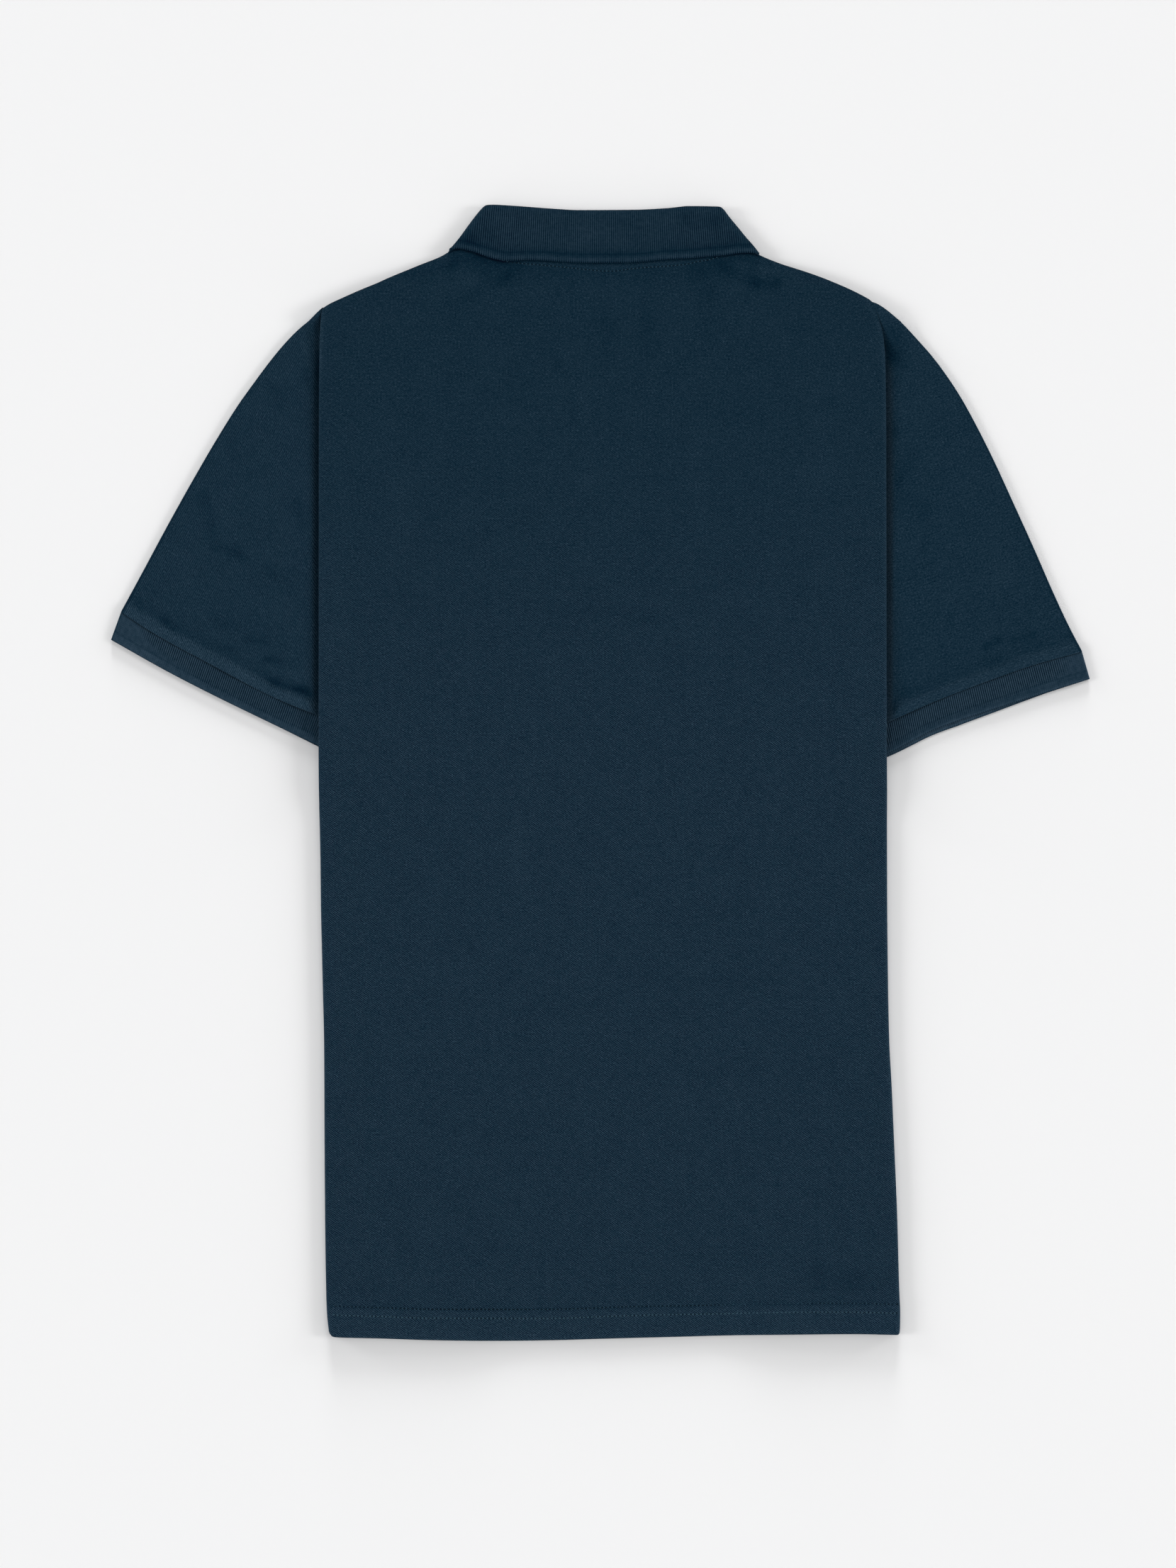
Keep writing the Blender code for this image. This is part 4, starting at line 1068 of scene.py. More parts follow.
SLEEVE_BAND_LIGHT_AND_SHADE = {"left": (0.38, 0.10), "right": (0.22, 0.05)}  # painted light on the raised band, painted shade in the trough above it
SLEEVE_TONE = {"left": -0.07, "right": -0.13}                      # the whole sleeve darker than the back
BESIDE_SWELL = 1.6       # pressed under the body, the sleeve swells up just beside it
BESIDE_LIGHT_AND_SHADE = {
    # painted light and shade beside the body's folded edge, low down, then high up: the tone close
    # beside the edge and the tone a little further out. Last, where that is and how wide
    "left": ((-0.24, 0.24), (-0.50, 0.04), 2.9, 1.6),
    "right": ((0.0, 0.72), (0.0, 0.72), 2.35, 1.85),
}
BESIDE_CHANGE = (230.0, 50.0)                  # low turns to high from this height, over this run
FARTHEST_CROSSING = 0.97                       # a sleeve's rows keep some room outside the body
LOWER_LAYER_SHARES = np.linspace(0.0, 1.0, 40)
SHOULDER_JOIN = {
    # the sleeve comes up level with the body here: (none below, full above, run down the sleeve)
    "left": (296.0, 307.0, 16.0),
    "right": (279.0, 300.0, 26.0),
}


def beside_body(x, y):
    """0 where the body lies on top, rising to 1 a little outside its folded edge."""
    return ease((np.abs(x) - side_edge(x, y) - 0.4) / 4.5)


def body_edge_share(side, down):
    """How far along the sleeve the body's folded edge crosses it, for each share down it."""
    near, far = np.zeros(len(down)), np.ones(len(down))
    for _ in range(30):
        middle = (near + far) / 2.0
        point = sleeve_point(side, middle, down)
        outside = point[..., 0] > look_up(SIDES, side, point[..., 1])
        near, far = np.where(outside, near, middle), np.where(outside, middle, far)
    return far


def sleeve_painted_light_and_tone(side, x, y, away):
    """A sleeve's own tone and its painted light and shade, away being the distance from the cuff's seam."""
    band_light, trough_shade = SLEEVE_BAND_LIGHT_AND_SHADE[side]
    outside = np.abs(x) - side_edge(x, y)
    none, full, _ = SHOULDER_JOIN[side]
    low, high, far_at, far_width = BESIDE_LIGHT_AND_SHADE[side]
    change = ease((y - BESIDE_CHANGE[0]) / BESIDE_CHANGE[1])
    near, further = (a + (b - a) * change for a, b in zip(low, high))
    beside = near * line_share(outside, 0.0, 2.5) + further * line_share(outside, far_at, far_width)
    beside = beside * (1.0 - ease((y - none + 20.0) / (full - none)))
    tone_and_painted_light = band_light * (1.0 - ease((away - 5.0) / 4.5))
    tone_and_painted_light = tone_and_painted_light - trough_shade * line_share(away, SEAM_BAND + 5.0, 3.6)
    return tone_and_painted_light + beside + SLEEVE_TONE[side] + CREASE_LIGHT_AND_SHADE * crease_field(x, y, SLEEVE_CREASES[side])


def make_sleeve(side, finish):
    """A sleeve, from under the body's side to the seam of its cuff."""
    sign = -1.0 if side == "left" else 1.0
    seam = along_curve(CUFF_SEAM[side], np.linspace(0.0, 1.0, 200))
    edge_steps = np.linspace(0.0, 1.0, 200)
    edge_shares = np.minimum(body_edge_share(side, edge_steps), FARTHEST_CROSSING)
    before_roll = np.zeros(len(UNDER_ROWS) + len(OPEN_ROWS))
    over = np.concatenate([before_roll, OVERHANG])
    rolled = np.concatenate([before_roll, ROLLED])

    def plan(share, under):
        """Plan points: rows under the body, rows outside it, and the roll over the cuff."""
        edge = np.interp(share, edge_steps, edge_shares)[None]
        rows = np.concatenate([
            UNDER_ROWS[:, None] * edge,
            edge + OPEN_ROWS[:, None] * (1.0 - edge),
            np.ones((len(OVERHANG), len(share))),
        ])
        spot = sleeve_point(side, rows, np.broadcast_to(share[None], rows.shape))
        way = along_curve(CUFF_EDGE[side], share) - along_curve(CUFF_SEAM[side], share)
        way /= np.linalg.norm(way, axis=-1, keepdims=True)
        reach = over[:, None] * (1.0 - 0.8 * under)[None]
        return spot + reach[..., None] * way[None]

    def from_seam(x, y):
        """Distance from the cuff's seam, none on the roll past it."""
        away = np.full(x.shape, 1e9)
        for px, py in seam:
            away = np.minimum(away, np.hypot(np.abs(x) - px, y - py))
        return np.where(over[:, None] > 0.0, 0.0, away)

    def lift(x, y, share, angle):
        """What the upper layer adds: the seam's band, the join at the shoulder and the creases."""
        away = from_seam(x, y)
        free = beside_body(x, y)
        outside = np.abs(x) - side_edge(x, y)
        band = SEAM_BAND_RISE * (1.0 - ease((away - SEAM_BAND + 1.6) / 3.2)) * (0.3 + 0.7 * free)
        band = band - SEAM_DENT * line_share(away, 0.0, 0.9) * (away > 0.0)
        trough = -TROUGH_DEPTH * line_share(away, SEAM_BAND + 4.5, 3.4)
        soft = 0.9 + 0.4 * unevenness(x, y, 60.0, 8 if side == "left" else 9)
        swell = BESIDE_SWELL * ease((outside - 0.3) / 2.0) * (1.0 - ease((outside - 5.0) / 30.0))
        top = soft + trough + swell + crease_field(x, y, SLEEVE_CREASES[side])
        edge = np.sin(np.clip(share, 0.0, 1.0) * math.pi) ** 0.35
        none, full, run = SHOULDER_JOIN[side]
        join = 5.2 * ease((y - none) / (full - none)) * ease((outside + 0.2) / 0.9)
        join = join * (1.0 - ease((outside - 0.7) / run)) * np.clip(share / 0.012, 0.0, 1.0) ** 0.5
        upper = (1.0 + np.cos(angle)) / 2.0
        return upper * (band - rolled[:, None] + join + edge * free * np.maximum(top, -0.2))

    grid = flat_tube(sign, plan, SLEEVE_SHARES, LOWER_LAYER_SHARES, lift)
    x, y, z = grid[..., 0], grid[..., 1], grid[..., 2]
    tone_and_painted_light = sleeve_painted_light_and_tone(side, x, y, from_seam(x, y))
    tone_and_painted_light[:, 0] = tone_and_painted_light[:, -1] = EDGE_SHADE
    if side == "left":
        grid, tone_and_painted_light, x, y, z = (part[:, ::-1] for part in (grid, tone_and_painted_light, x, y, z))
    lengths = [np.concatenate([part, part[:, :1]], axis=1) for part in (x + 0.25 * z, y + 0.25 * z)]
    made = cloth_wall(
        "sleeve_" + side + "_knit", grid, WALL, finish, around=True, lengths=lengths, marks=[("tone_and_painted_light", tone_and_painted_light)]
    )
    declare_sheet(made, "sleeve_" + side)


make_sleeve("left", PIQUE_LEFT)
make_sleeve("right", PIQUE_RIGHT)

# %% [markdown]
# ## Rib knit
# Collar and cuffs are knitted to shape in a rib: a ridge, then a narrow valley, about every 1.45 mm.
# The ridges are real relief in the mesh, because they show along the edges. The finish paints shade
# into the valleys and along the finished edge, adds the small loops along each ridge, and leaves the smoother
# band at the edge plain.

# %% Rib finish
RIB_PITCH = {"cuff": 1.44, "collar": 1.45}
# painted shade in the rib's valleys, as a share of the tone
RIB_VALLEY_SHADE = 0.66
RIB_LOOP_PITCH = 1.05    # mm from loop to loop along a ridge
LOOP_RADIANS = math.tau / (RIB_LOOP_PITCH * MM)      # for each metre up the rib
RIB_LOOP_TONE = 0.12
RIB_BAND_TONE = -0.22    # the line above the smoother band
RIB_TONES = {"yarn": 1.2, "patches": 0.9, "clouds": 0.45}
RIB_DARKEST = 0.10
RIB_BUMP = 0.07          # mm


def rib_cloth(name, pitch, band):
    """Rib knit: u runs across the ribs, and v up from the finished edge, both on the UV map."""
    recipe = Recipe(name, **KNIT_LOOK)
    where = recipe.places.outputs["UV"]
    split = recipe.tree.nodes.new("ShaderNodeSeparateXYZ")
    recipe.tree.links.new(where, split.inputs[0])
    across, up = split.outputs["X"], split.outputs["Y"]
    valley = recipe.maths("COSINE", recipe.maths("MULTIPLY", across, math.tau / (pitch * MM)))
    ribs = recipe.maths("MULTIPLY", valley, recipe.mark("ribbing"))
    slant = recipe.maths("MULTIPLY_ADD", valley, 0.9, recipe.maths("MULTIPLY", up, LOOP_RADIANS))
    loops = recipe.maths("SINE", slant)
    yarn, _ = recipe.noise(where, 1700.0, 2.0)
    patches, _ = recipe.noise(where, 380.0, 2.0)
    clouds, _ = recipe.noise(where, 60.0, 3.0)
    # painted shade in the valleys, as deep as the ribbing mark allows
    tone = recipe.maths("MULTIPLY_ADD", ribs, -RIB_VALLEY_SHADE, 1.0)
    tone = recipe.maths("MULTIPLY_ADD", loops, RIB_LOOP_TONE, tone)
    tone = recipe.maths("MULTIPLY_ADD", recipe.line(up, band, 0.5), RIB_BAND_TONE, tone)
    tone = recipe.vary(tone, yarn, RIB_TONES["yarn"])
    tone = recipe.vary(tone, patches, RIB_TONES["patches"])
    tone = recipe.vary(tone, clouds, RIB_TONES["clouds"])
    # painted shade along the finished edge, where the rib turns down, deepest in the valleys
    rim = recipe.maths("MULTIPLY_ADD", valley, 0.35, 0.55)
    rim = recipe.maths("MULTIPLY_ADD", recipe.maths("MULTIPLY", recipe.line(up, 0.0, 0.5), rim), -1.0, 1.0)
    tone = recipe.maths("MULTIPLY", tone, rim)
    # the piece's own tone and its painted light and shade, laid on its points
    tone = recipe.maths("MULTIPLY", tone, recipe.maths("ADD", recipe.mark("tone_and_painted_light"), 1.0))
    recipe.colour(RIB_COLOUR, recipe.maths("MAXIMUM", tone, RIB_DARKEST), COLOUR_DEPTH)
    height = recipe.maths("MULTIPLY_ADD", yarn, 0.5, recipe.maths("MULTIPLY", loops, 0.5))
    recipe.bump(height, RIB_BUMP)
    return recipe.material


RIB_CUFF = rib_cloth("rib_knit_cuff", RIB_PITCH["cuff"], 5.6)
RIB_COLLAR = rib_cloth("rib_knit_collar", RIB_PITCH["collar"], 5.2)
print("rib pitch, mm:", RIB_PITCH)


def rib_profile(place, pitch, seed):
    """Height from 0 in a valley to 1 on a ridge, each ridge a little different."""
    count = np.floor(place / pitch)
    part = place / pitch - count
    own = 0.88 + 0.12 * np.sin(count * 12.9898 + seed) * np.sin(count * 4.13 + 2.0 * seed)
    return own * (1.0 - np.abs(2.0 * part - 1.0) ** 2.6)


# %% [markdown]
# ## Cuffs
# A cuff is a flat ring of rib knit sewn to the sleeve's end, with its ribs running out of the seam.
# The ribs are plainest just below the seam, where the sewing gathers them, and flatten towards the
# finished edge. It could be one ring copied twice, but each cuff is laid out for itself, because
# each lies at its own slant and its under layer shows by a different amount.

# %% Cuffs
CUFF_WIDTH = 18.0
CUFF_SEAM_GAP = 0.42     # from the sleeve's seam line to the cuff's first row
CUFF_RIB = 0.55          # height of a ridge
SAMPLES_PER_RIB = 6
CUFF_ROWS = np.concatenate([                   # shares of the way down from the seam
    [0.0, 0.02, 0.045, 0.075], np.linspace(0.12, 0.74, 7),
    [0.77, 0.80, 0.86, 0.93, 0.965, 0.985, 1.0],
])
CUFF_BAND_FROM = 0.69    # a knitted line, and below it the smoother band at the edge
CUFF_RIBS_FROM = {"left": (0.06, 1.0), "right": (0.02, 1.25)}   # where the ribs begin and weaken
CUFF_TONE_AND_LIGHT = {
    # how much paler: outer end, inner end, the band at the edge, and as painted light the very edge and the
    # under layer
    "left": (0.34, 0.16, 0.24, 0.25, 0.1),
    "right": (0.29, 0.25, -0.08, 1.0, 0.9),
}
CUFF_RIB_RUN = {
    # how far down the ribs stay full, at these shares of the way from the outer end to the inner one
    "at": (0.0, 0.15, 0.45, 0.8, 1.0),
    "left": (0.1, 0.35, 0.75, 0.72, 0.8),
    "right": (0.35, 0.6, 0.75, 0.8, 0.8),
}
UNDER_LAYER_RIBBING = 0.3


def cuff_painted_light_and_tone(side, upper, down, fade):
    """A cuff's upper layer's tone row by row, with painted light on its very edge and painted shade at its
    seam.
    """
    outer, inner, band, rim, _ = CUFF_TONE_AND_LIGHT[side]
    along = inner + (outer - inner) * (1.0 - ease(upper / 0.6)) + 0.06 * (1.0 - fade)
    # painted shade in a line along the seam
    seam = band * ease((down - 0.66) / 0.16) - 0.14 * line_share(down, 0.0, 0.03)
    edge = rim * line_share(down, 1.0, 0.06) - 0.10 * line_share(down, 0.68, 0.025)
    return along[None] + seam[:, None] + edge[:, None]


def round_lengths(upper, lower, ribs):
    """Places round a cuff's cloth: its upper layer, rolled end, lower layer and other end."""
    step = (STEP + WALL) / 2.0 * math.pi / (len(END_TURNS) + 1)
    turn = step * np.arange(1, len(END_TURNS) + 2)
    over = upper * ribs * RIB_PITCH["cuff"]
    back = over[-1] + turn[-1] + lower * ribs * RIB_PITCH["cuff"]
    return np.concatenate([over, over[-1] + turn[:-1], back, back[-1] + turn])


def make_cuff(side, seed):
    """A cuff, from its seam down to its edge; the seed makes its ribs uneven in their own way."""
    sign = -1.0 if side == "left" else 1.0
    length = curve_length(CUFF_SEAM[side])
    ribs = int(length / RIB_PITCH["cuff"])
    upper = np.linspace(0.0, 1.0, ribs * SAMPLES_PER_RIB + 1)
    down = CUFF_ROWS
    peeks = CUFF_EDGE[side]["peek"]

    def plan(share, under):
        """Plan points from the seam to the edge, the under layer reaching past it."""
        seam, low = along_curve(CUFF_SEAM[side], share), along_curve(CUFF_EDGE[side], share)
        way = low - seam
        way /= np.linalg.norm(way, axis=-1, keepdims=True)
        peek = np.interp(share, np.linspace(0.0, 1.0, len(peeks)), peeks)
        first = seam + CUFF_SEAM_GAP * way
        full = low - first + (peek * under)[:, None] * way
        return first[None] + down[:, None, None] * full[None]

    profile = rib_profile(upper * ribs * RIB_PITCH["cuff"], RIB_PITCH["cuff"], seed)
    starts, ends = CUFF_RIBS_FROM[side]
    fade = 0.12 + 0.88 * ease((upper - starts) / 0.12) * (0.55 + 0.45 * ease((ends - upper) / 0.25))
    run = np.interp(upper, CUFF_RIB_RUN["at"], CUFF_RIB_RUN[side])
    strength = ease((run[None] - down[:, None]) / 0.45 + 0.5) * 0.85 + 0.15
    strength = strength * fade[None] * (1.0 - 0.5 * line_share(down, CUFF_BAND_FROM, 0.03))[:, None]
    ribbing = CUFF_RIB * strength * profile[None]

    def lift(x, y, share, angle):
        """What the upper layer adds: a soft swell, tucked in at the seam and thinner at the rim."""
        free = beside_body(x, y)
        upper_side = (1.0 + np.cos(angle)) / 2.0
        swell = 0.35 + 0.25 * unevenness(x, y, 45.0, 21)
        swell = swell * (1.0 - 0.6 * ease((down - 0.6) / 0.4))[:, None]
        tucked = -0.4 * (1.0 - ease(down / 0.075))[:, None]
        rim = -0.30 * ease((down - 0.93) / 0.07)[:, None]
        line = -0.16 * line_share(down, CUFF_BAND_FROM, 0.02)[:, None]
        return upper_side * (free * swell + line + tucked + rim)

    lower = upper[::2]
    grid = flat_tube(sign, plan, upper, lower, lift, ribbing)
    count = len(upper)
    plainness = np.full(grid.shape[:2], UNDER_LAYER_RIBBING)
    plainness[:, :count] = strength
    # painted light on the under layer, where it shows past the upper one
    tone_and_painted_light = np.full(grid.shape[:2], CUFF_TONE_AND_LIGHT[side][-1])
    tone_and_painted_light[:, :count] = cuff_painted_light_and_tone(side, upper, down, fade)
    u = np.repeat(round_lengths(upper, lower, ribs)[None], len(down), axis=0)
    v = np.repeat(((1.0 - down) * CUFF_WIDTH)[:, None], u.shape[1], axis=1)
    if side == "left":
        grid, u, v, plainness, tone_and_painted_light = (part[::-1] for part in (grid, u, v, plainness, tone_and_painted_light))
    made = cloth_wall(
        "cuff_" + side + "_rib", grid, WALL, RIB_CUFF, around=True, lengths=(u, v), rim=0.3,
        marks=[("ribbing", plainness), ("tone_and_painted_light", tone_and_painted_light)],
    )
    declare_sheet(
        made, "cuff_" + side,
    )


make_cuff("left", 1.0)
make_cuff("right", 2.3)

# %% [markdown]
# ## Collar
# The collar is one rib-knit strip folded over along its top. Outside is the leaf, which shows on the
# back, and inside is the stand, sewn to the neckline. Its ribs run up the back, leaning in a little
# towards the sides, and are cut by the slanting folds there. So the leaf's columns follow the ribs
# and end where they meet the outline, and there they roll over it.

# %% Collar measures
COLLAR_OUTLINE = {
    # up the left side fold, along the top fold and down the right side fold
    "across": (
        -101.4, -99.0, -97.0, -95.0, -90.0, -84.0, -80.0, -78.0, -76.0, -72.0, -60.0, -30.0, -15.0,
        22.0, 45.0, 60.0, 79.0, 81.0, 83.0, 84.0, 86.0, 95.0, 103.0, 107.4,
    ),
    "height": (
        349.6, 352.1, 354.5, 357.4, 364.8, 372.8, 377.6, 379.4, 380.2, 380.4, 379.8, 377.6, 376.8,
        377.0, 378.1, 379.5, 379.2, 378.8, 377.4, 376.2, 373.4, 362.4, 351.7, 345.9,
    ),
}
COLLAR_TOP = COLLAR_MIDDLE * 2.0
FOLD_ROLL = RIB_WALL + GAP / 2.0               # radius of the strip's fold along the top
SIDE_ROLL = COLLAR_MIDDLE                      # and of the leaf's turn at the sides
COLLAR_RIB = 0.36        # height of a ridge
LEAF_BAND = 5.2          # width of the smoother band at the leaf's edge
RIB_FAN = 6.5            # degrees that the outermost ribs lean
OUTLINE_STEPS = 1200
OUTLINE_INSET = {
    # the rolled cloth keeps this far inside the outline, above the height where it comes in
    "from": 351.0, "over": 12.0, "down": 0.5, "across": (-80.0, 80.0), "inward": (-0.15, 0.38),
}
LEAF_FROM, LEAF_TO = LEAF_EDGE["across"][0] + 0.2, LEAF_EDGE["across"][-1] - 1.0
LEAF_ROWS = (0.0, 0.5, 1.1, 2.0, 3.2, 4.2, 4.7, 5.2, 5.7, 6.4)     # up from the edge, in millimetres
LEAF_FULL = 7.5          # where the leaf is narrower than this, those rows draw together
LEAF_EVEN_ROWS = 11
LEAF_RIBBING = {"up": (0.0, 1.2, 4.4, LEAF_BAND, 6.2, 8.0), "full": (0.8, 0.7, 0.6, 0.3, 0.9, 1.0)}
LEAF_SCALLOP = 0.45      # the edge is drawn in between two ribs
LEAF_DROPS = {"edge": 0.5, "band": 0.12}       # and is lower, as is the line above the band
LEAF_TUCK = 0.6          # the last row turns in by this much, out of sight
LEAF_TONE = -0.08
LEAF_BAND_TONES = (0.25, -0.22)                # the band's middle, and the line above it
LEAF_LOW_TONE = -0.08    # the lower part of the leaf
LEAF_ROLL_SHADE = -0.3    # painted shade where it has turned over the fold, away from the light
LEAF_TONES = (
    # paler or darker places on the leaf, laid like creases
    (50.0, 374.0, 86.0, 365.0, 6.0, -0.26),
    (74.0, 360.0, 98.0, 352.0, 5.0, -0.16),
    (-96.0, 352.0, -70.0, 362.0, 7.0, -0.26),
    (-52.0, 378.5, -6.0, 376.0, 2.0, -0.16),
    (-6.0, 364.0, -8.0, 357.0, 5.0, 0.14),
    (-60.0, 362.0, 36.0, 362.0, 9.0, 0.07),
)
LEAF_TURNS = (15.0, 30.0, 45.0, 60.0, 75.0, 90.0, 110.0, 130.0, 150.0, 170.0, 180.0)

# %% The leaf on the back
def outline_crossing(foot, lean, outline):
    """Where a rib that starts at foot and leans this much meets the collar's outline."""
    x, y = outline[:, 0], outline[:, 1]
    aside = (x - foot[0]) - lean * (y - foot[1])
    crossing = np.nonzero((aside[:-1] <= 0.0) & (aside[1:] > 0.0))[0]
    n = crossing[np.argmax(y[crossing])] if len(crossing) else 0
    t = np.clip(-aside[n] / (aside[n + 1] - aside[n]), 0.0, 1.0)
    return outline[n] + t * (outline[n + 1] - outline[n]), n + t


def leaf_outline():
    """Points along the outline that the rolled cloth reaches, and the way out from each of them."""
    outline = along_curve(COLLAR_OUTLINE, np.linspace(0.0, 1.0, OUTLINE_STEPS))
    share = ease((outline[:, 1] - OUTLINE_INSET["from"]) / OUTLINE_INSET["over"])
    inward = np.interp(outline[:, 0], OUTLINE_INSET["across"], OUTLINE_INSET["inward"])
    outline = outline - np.column_stack([inward * share, OUTLINE_INSET["down"] * share])
    way = np.gradient(outline, axis=0)
    way /= np.linalg.norm(way, axis=1, keepdims=True)
    outward = np.column_stack([-way[:, 1], way[:, 0]])
    kernel = np.hanning(41)
    kernel /= kernel.sum()
    for n in (0, 1):
        outward[:, n] = np.convolve(np.pad(outward[:, n], 20, mode="edge"), kernel, mode="valid")
    outward /= np.linalg.norm(outward, axis=1, keepdims=True)
    return outline, outward


def leaf_ribs(pitch):
    """The line of each column: its foot on the edge, its lean, its top and the way out there."""
    outline, outward = leaf_outline()
    count = int((LEAF_TO - LEAF_FROM) / pitch * SAMPLES_PER_RIB)
    feet_x = np.linspace(LEAF_FROM, LEAF_TO, count + 1)
    feet = np.column_stack([feet_x, look_up(LEAF_EDGE, "height", feet_x)])
    middle = (LEAF_FROM + LEAF_TO) / 2.0
    leans = -np.tan(np.radians(RIB_FAN * np.clip((feet_x - middle) / (LEAF_TO - middle), -1.0, 1.0)))
    meets = [outline_crossing(foot, lean, outline) for foot, lean in zip(feet, leans)]
    tops, places = np.array([meet[0] for meet in meets]), np.array([meet[1] for meet in meets])
    normal = np.column_stack([np.interp(places, np.arange(OUTLINE_STEPS), outward[:, n]) for n in (0, 1)])
    return feet, leans, tops, normal


def make_leaf():
    """The leaf, column by column up its ribs, and over the folds at its top and sides."""
    pitch = RIB_PITCH["collar"]
    feet, leans, tops, normal = leaf_ribs(pitch)
    full = np.maximum(np.linalg.norm(tops - feet, axis=1), 0.4)
    up = np.column_stack([leans, np.ones(len(leans))])
    up /= np.linalg.norm(up, axis=1, keepdims=True)
    square = np.clip((up * normal).sum(axis=1), 0.4, 1.0)
    sideways = ease((np.abs(normal[:, 0]) - 0.25) / 0.5)
    roll = np.minimum(FOLD_ROLL + (SIDE_ROLL - FOLD_ROLL) * sideways, 0.6 * full * square)
    flat = full - roll / square
    across = feet[:, 0] - LEAF_FROM
    profile = rib_profile(across, pitch, 0.7)
    scallop = LEAF_SCALLOP * (1.0 - np.abs(2.0 * (across / pitch % 1.0) - 1.0) ** 2)
    waves = 0.25 * unevenness(feet[:, 0], feet[:, 1], 55.0, 31)
    middle_share = 1.0 - ease((np.abs(feet[:, 0] - 5.0) - 25.0) / 40.0)
    near_edge = np.array(LEAF_ROWS)[:, None] * np.clip(flat / LEAF_FULL, 0.0, 1.0)
    evenly = np.linspace(0.0, 1.0, LEAF_EVEN_ROWS + 1)[1:, None]
    steps = np.concatenate([near_edge, near_edge[-1] + evenly * (flat - near_edge[-1])])
    turns = np.concatenate([np.zeros(len(steps)), np.radians(LEAF_TURNS)])
    rows, lengths, plainness, tone_and_painted_light = [], [], [], []
    for number, turn in enumerate(turns):
        spot = steps[min(number, len(steps) - 1)]
        along = spot + roll * math.sin(turn) / square if turn else spot
        point = feet + up * along[:, None]
        point[:, 1] -= scallop * line_share(along, 0.0, 1.2)
        strength = np.interp(along, LEAF_RIBBING["up"], LEAF_RIBBING["full"])
        strength = strength * (0.35 + 0.65 * np.clip((flat - along) / 3.0, 0.0, 1.0))
        edge_drop = LEAF_DROPS["edge"] * line_share(along, 0.0, 0.9)
        edge_drop = edge_drop + LEAF_DROPS["band"] * line_share(along, LEAF_BAND, 0.6)
        height = COLLAR_TOP - roll * (1.0 - math.cos(turn)) - edge_drop * (turn == 0.0)
        height = height + COLLAR_RIB * strength * profile * (turn < 1.6)
        height = height + 0.4 * waves * np.minimum(along / full, 1.0) * max(0.0, math.cos(turn))
        rows.append(np.column_stack([point, height]))
        lengths.append(along if turn < 1.58 else lengths[-1] + 0.5)
        plainness.append((1.0 - 0.35 * middle_share) * np.maximum(strength, 0.55))
        patchy = crease_field(point[:, 0], point[:, 1], LEAF_TONES)
        band = LEAF_BAND_TONES[0] * line_share(along, 1.7, 1.1)
        band = band + LEAF_BAND_TONES[1] * line_share(along, LEAF_BAND - 0.2, 1.8)
        low = LEAF_LOW_TONE * (1.0 - ease((along - 6.0) / 10.0))
        tone_and_painted_light.append(patchy + LEAF_TONE + band + low + LEAF_ROLL_SHADE * (turn > 1.2))
    rows.append(rows[-1] - np.column_stack([LEAF_TUCK * up, np.zeros(len(up))]))
    for kept in (lengths, plainness, tone_and_painted_light):
        kept.append(kept[-1])
    grid = np.array(rows)
    u = np.repeat(across[None], len(rows), axis=0)
    return cloth_wall(
        "collar_leaf", grid, RIB_WALL, RIB_COLLAR, lengths=(u, np.array(lengths)), rim=0.3,
        marks=[("ribbing", plainness), ("tone_and_painted_light", tone_and_painted_light)],
    )


leaf_made = make_leaf()
declare_sheet(leaf_made, "collar")

# %% [markdown]
# ## Collar stand and front points
# Under the leaf the stand goes right round the neck, and in front the leaf's two points lie on the
# table. They are hidden, so they follow the solid's own form: a strip that is swept round the neck,
# station by station, turning over at the two side folds.

# %% Stand and points
COLLAR_FOLD = {
    "across": (-80.4, -75.0, -45.0, -15.0, 22.0, 62.0, 78.0, 82.0),
    "height": (373.4, 380.2, 378.6, 376.8, 376.8, 379.4, 379.0, 373.4),
}
LEAF_SIDES = ((-98.2, 348.8), (104.2, 346.0))  # the leaf's lower corners, at the two side folds
FRONT_FOLD = 284.0       # height of the fold above the placket
FRONT_END = 0.8          # the two front ends stop this far from the middle line
SEAM_INSET = (1.6, 1.2)
COLLAR_POINT = (48.0, 229.0)
FRONT_SHARES = np.linspace(0.0, 0.9, 10)       # stations from a front end to the side fold
SIDE_TURNS = np.linspace(180.0, 0.0, 13)       # and round that
STAND_STATIONS = 60
LEAF_SHARES = (1.0, 0.92, 0.84, 0.7, 0.5, 0.3, 0.14, 0.06)         # rows from the leaf's edge to the fold
SEAM_SHARES = (0.15, 0.4, 0.7, 1.0)                                # and from the fold to the neck seam
HAIRPIN = np.radians((90.0, 60.0, 30.0, 0.0, -30.0, -60.0, -90.0))


def unit(vector):
    """The same way, one long."""
    return vector / np.hypot(*vector)


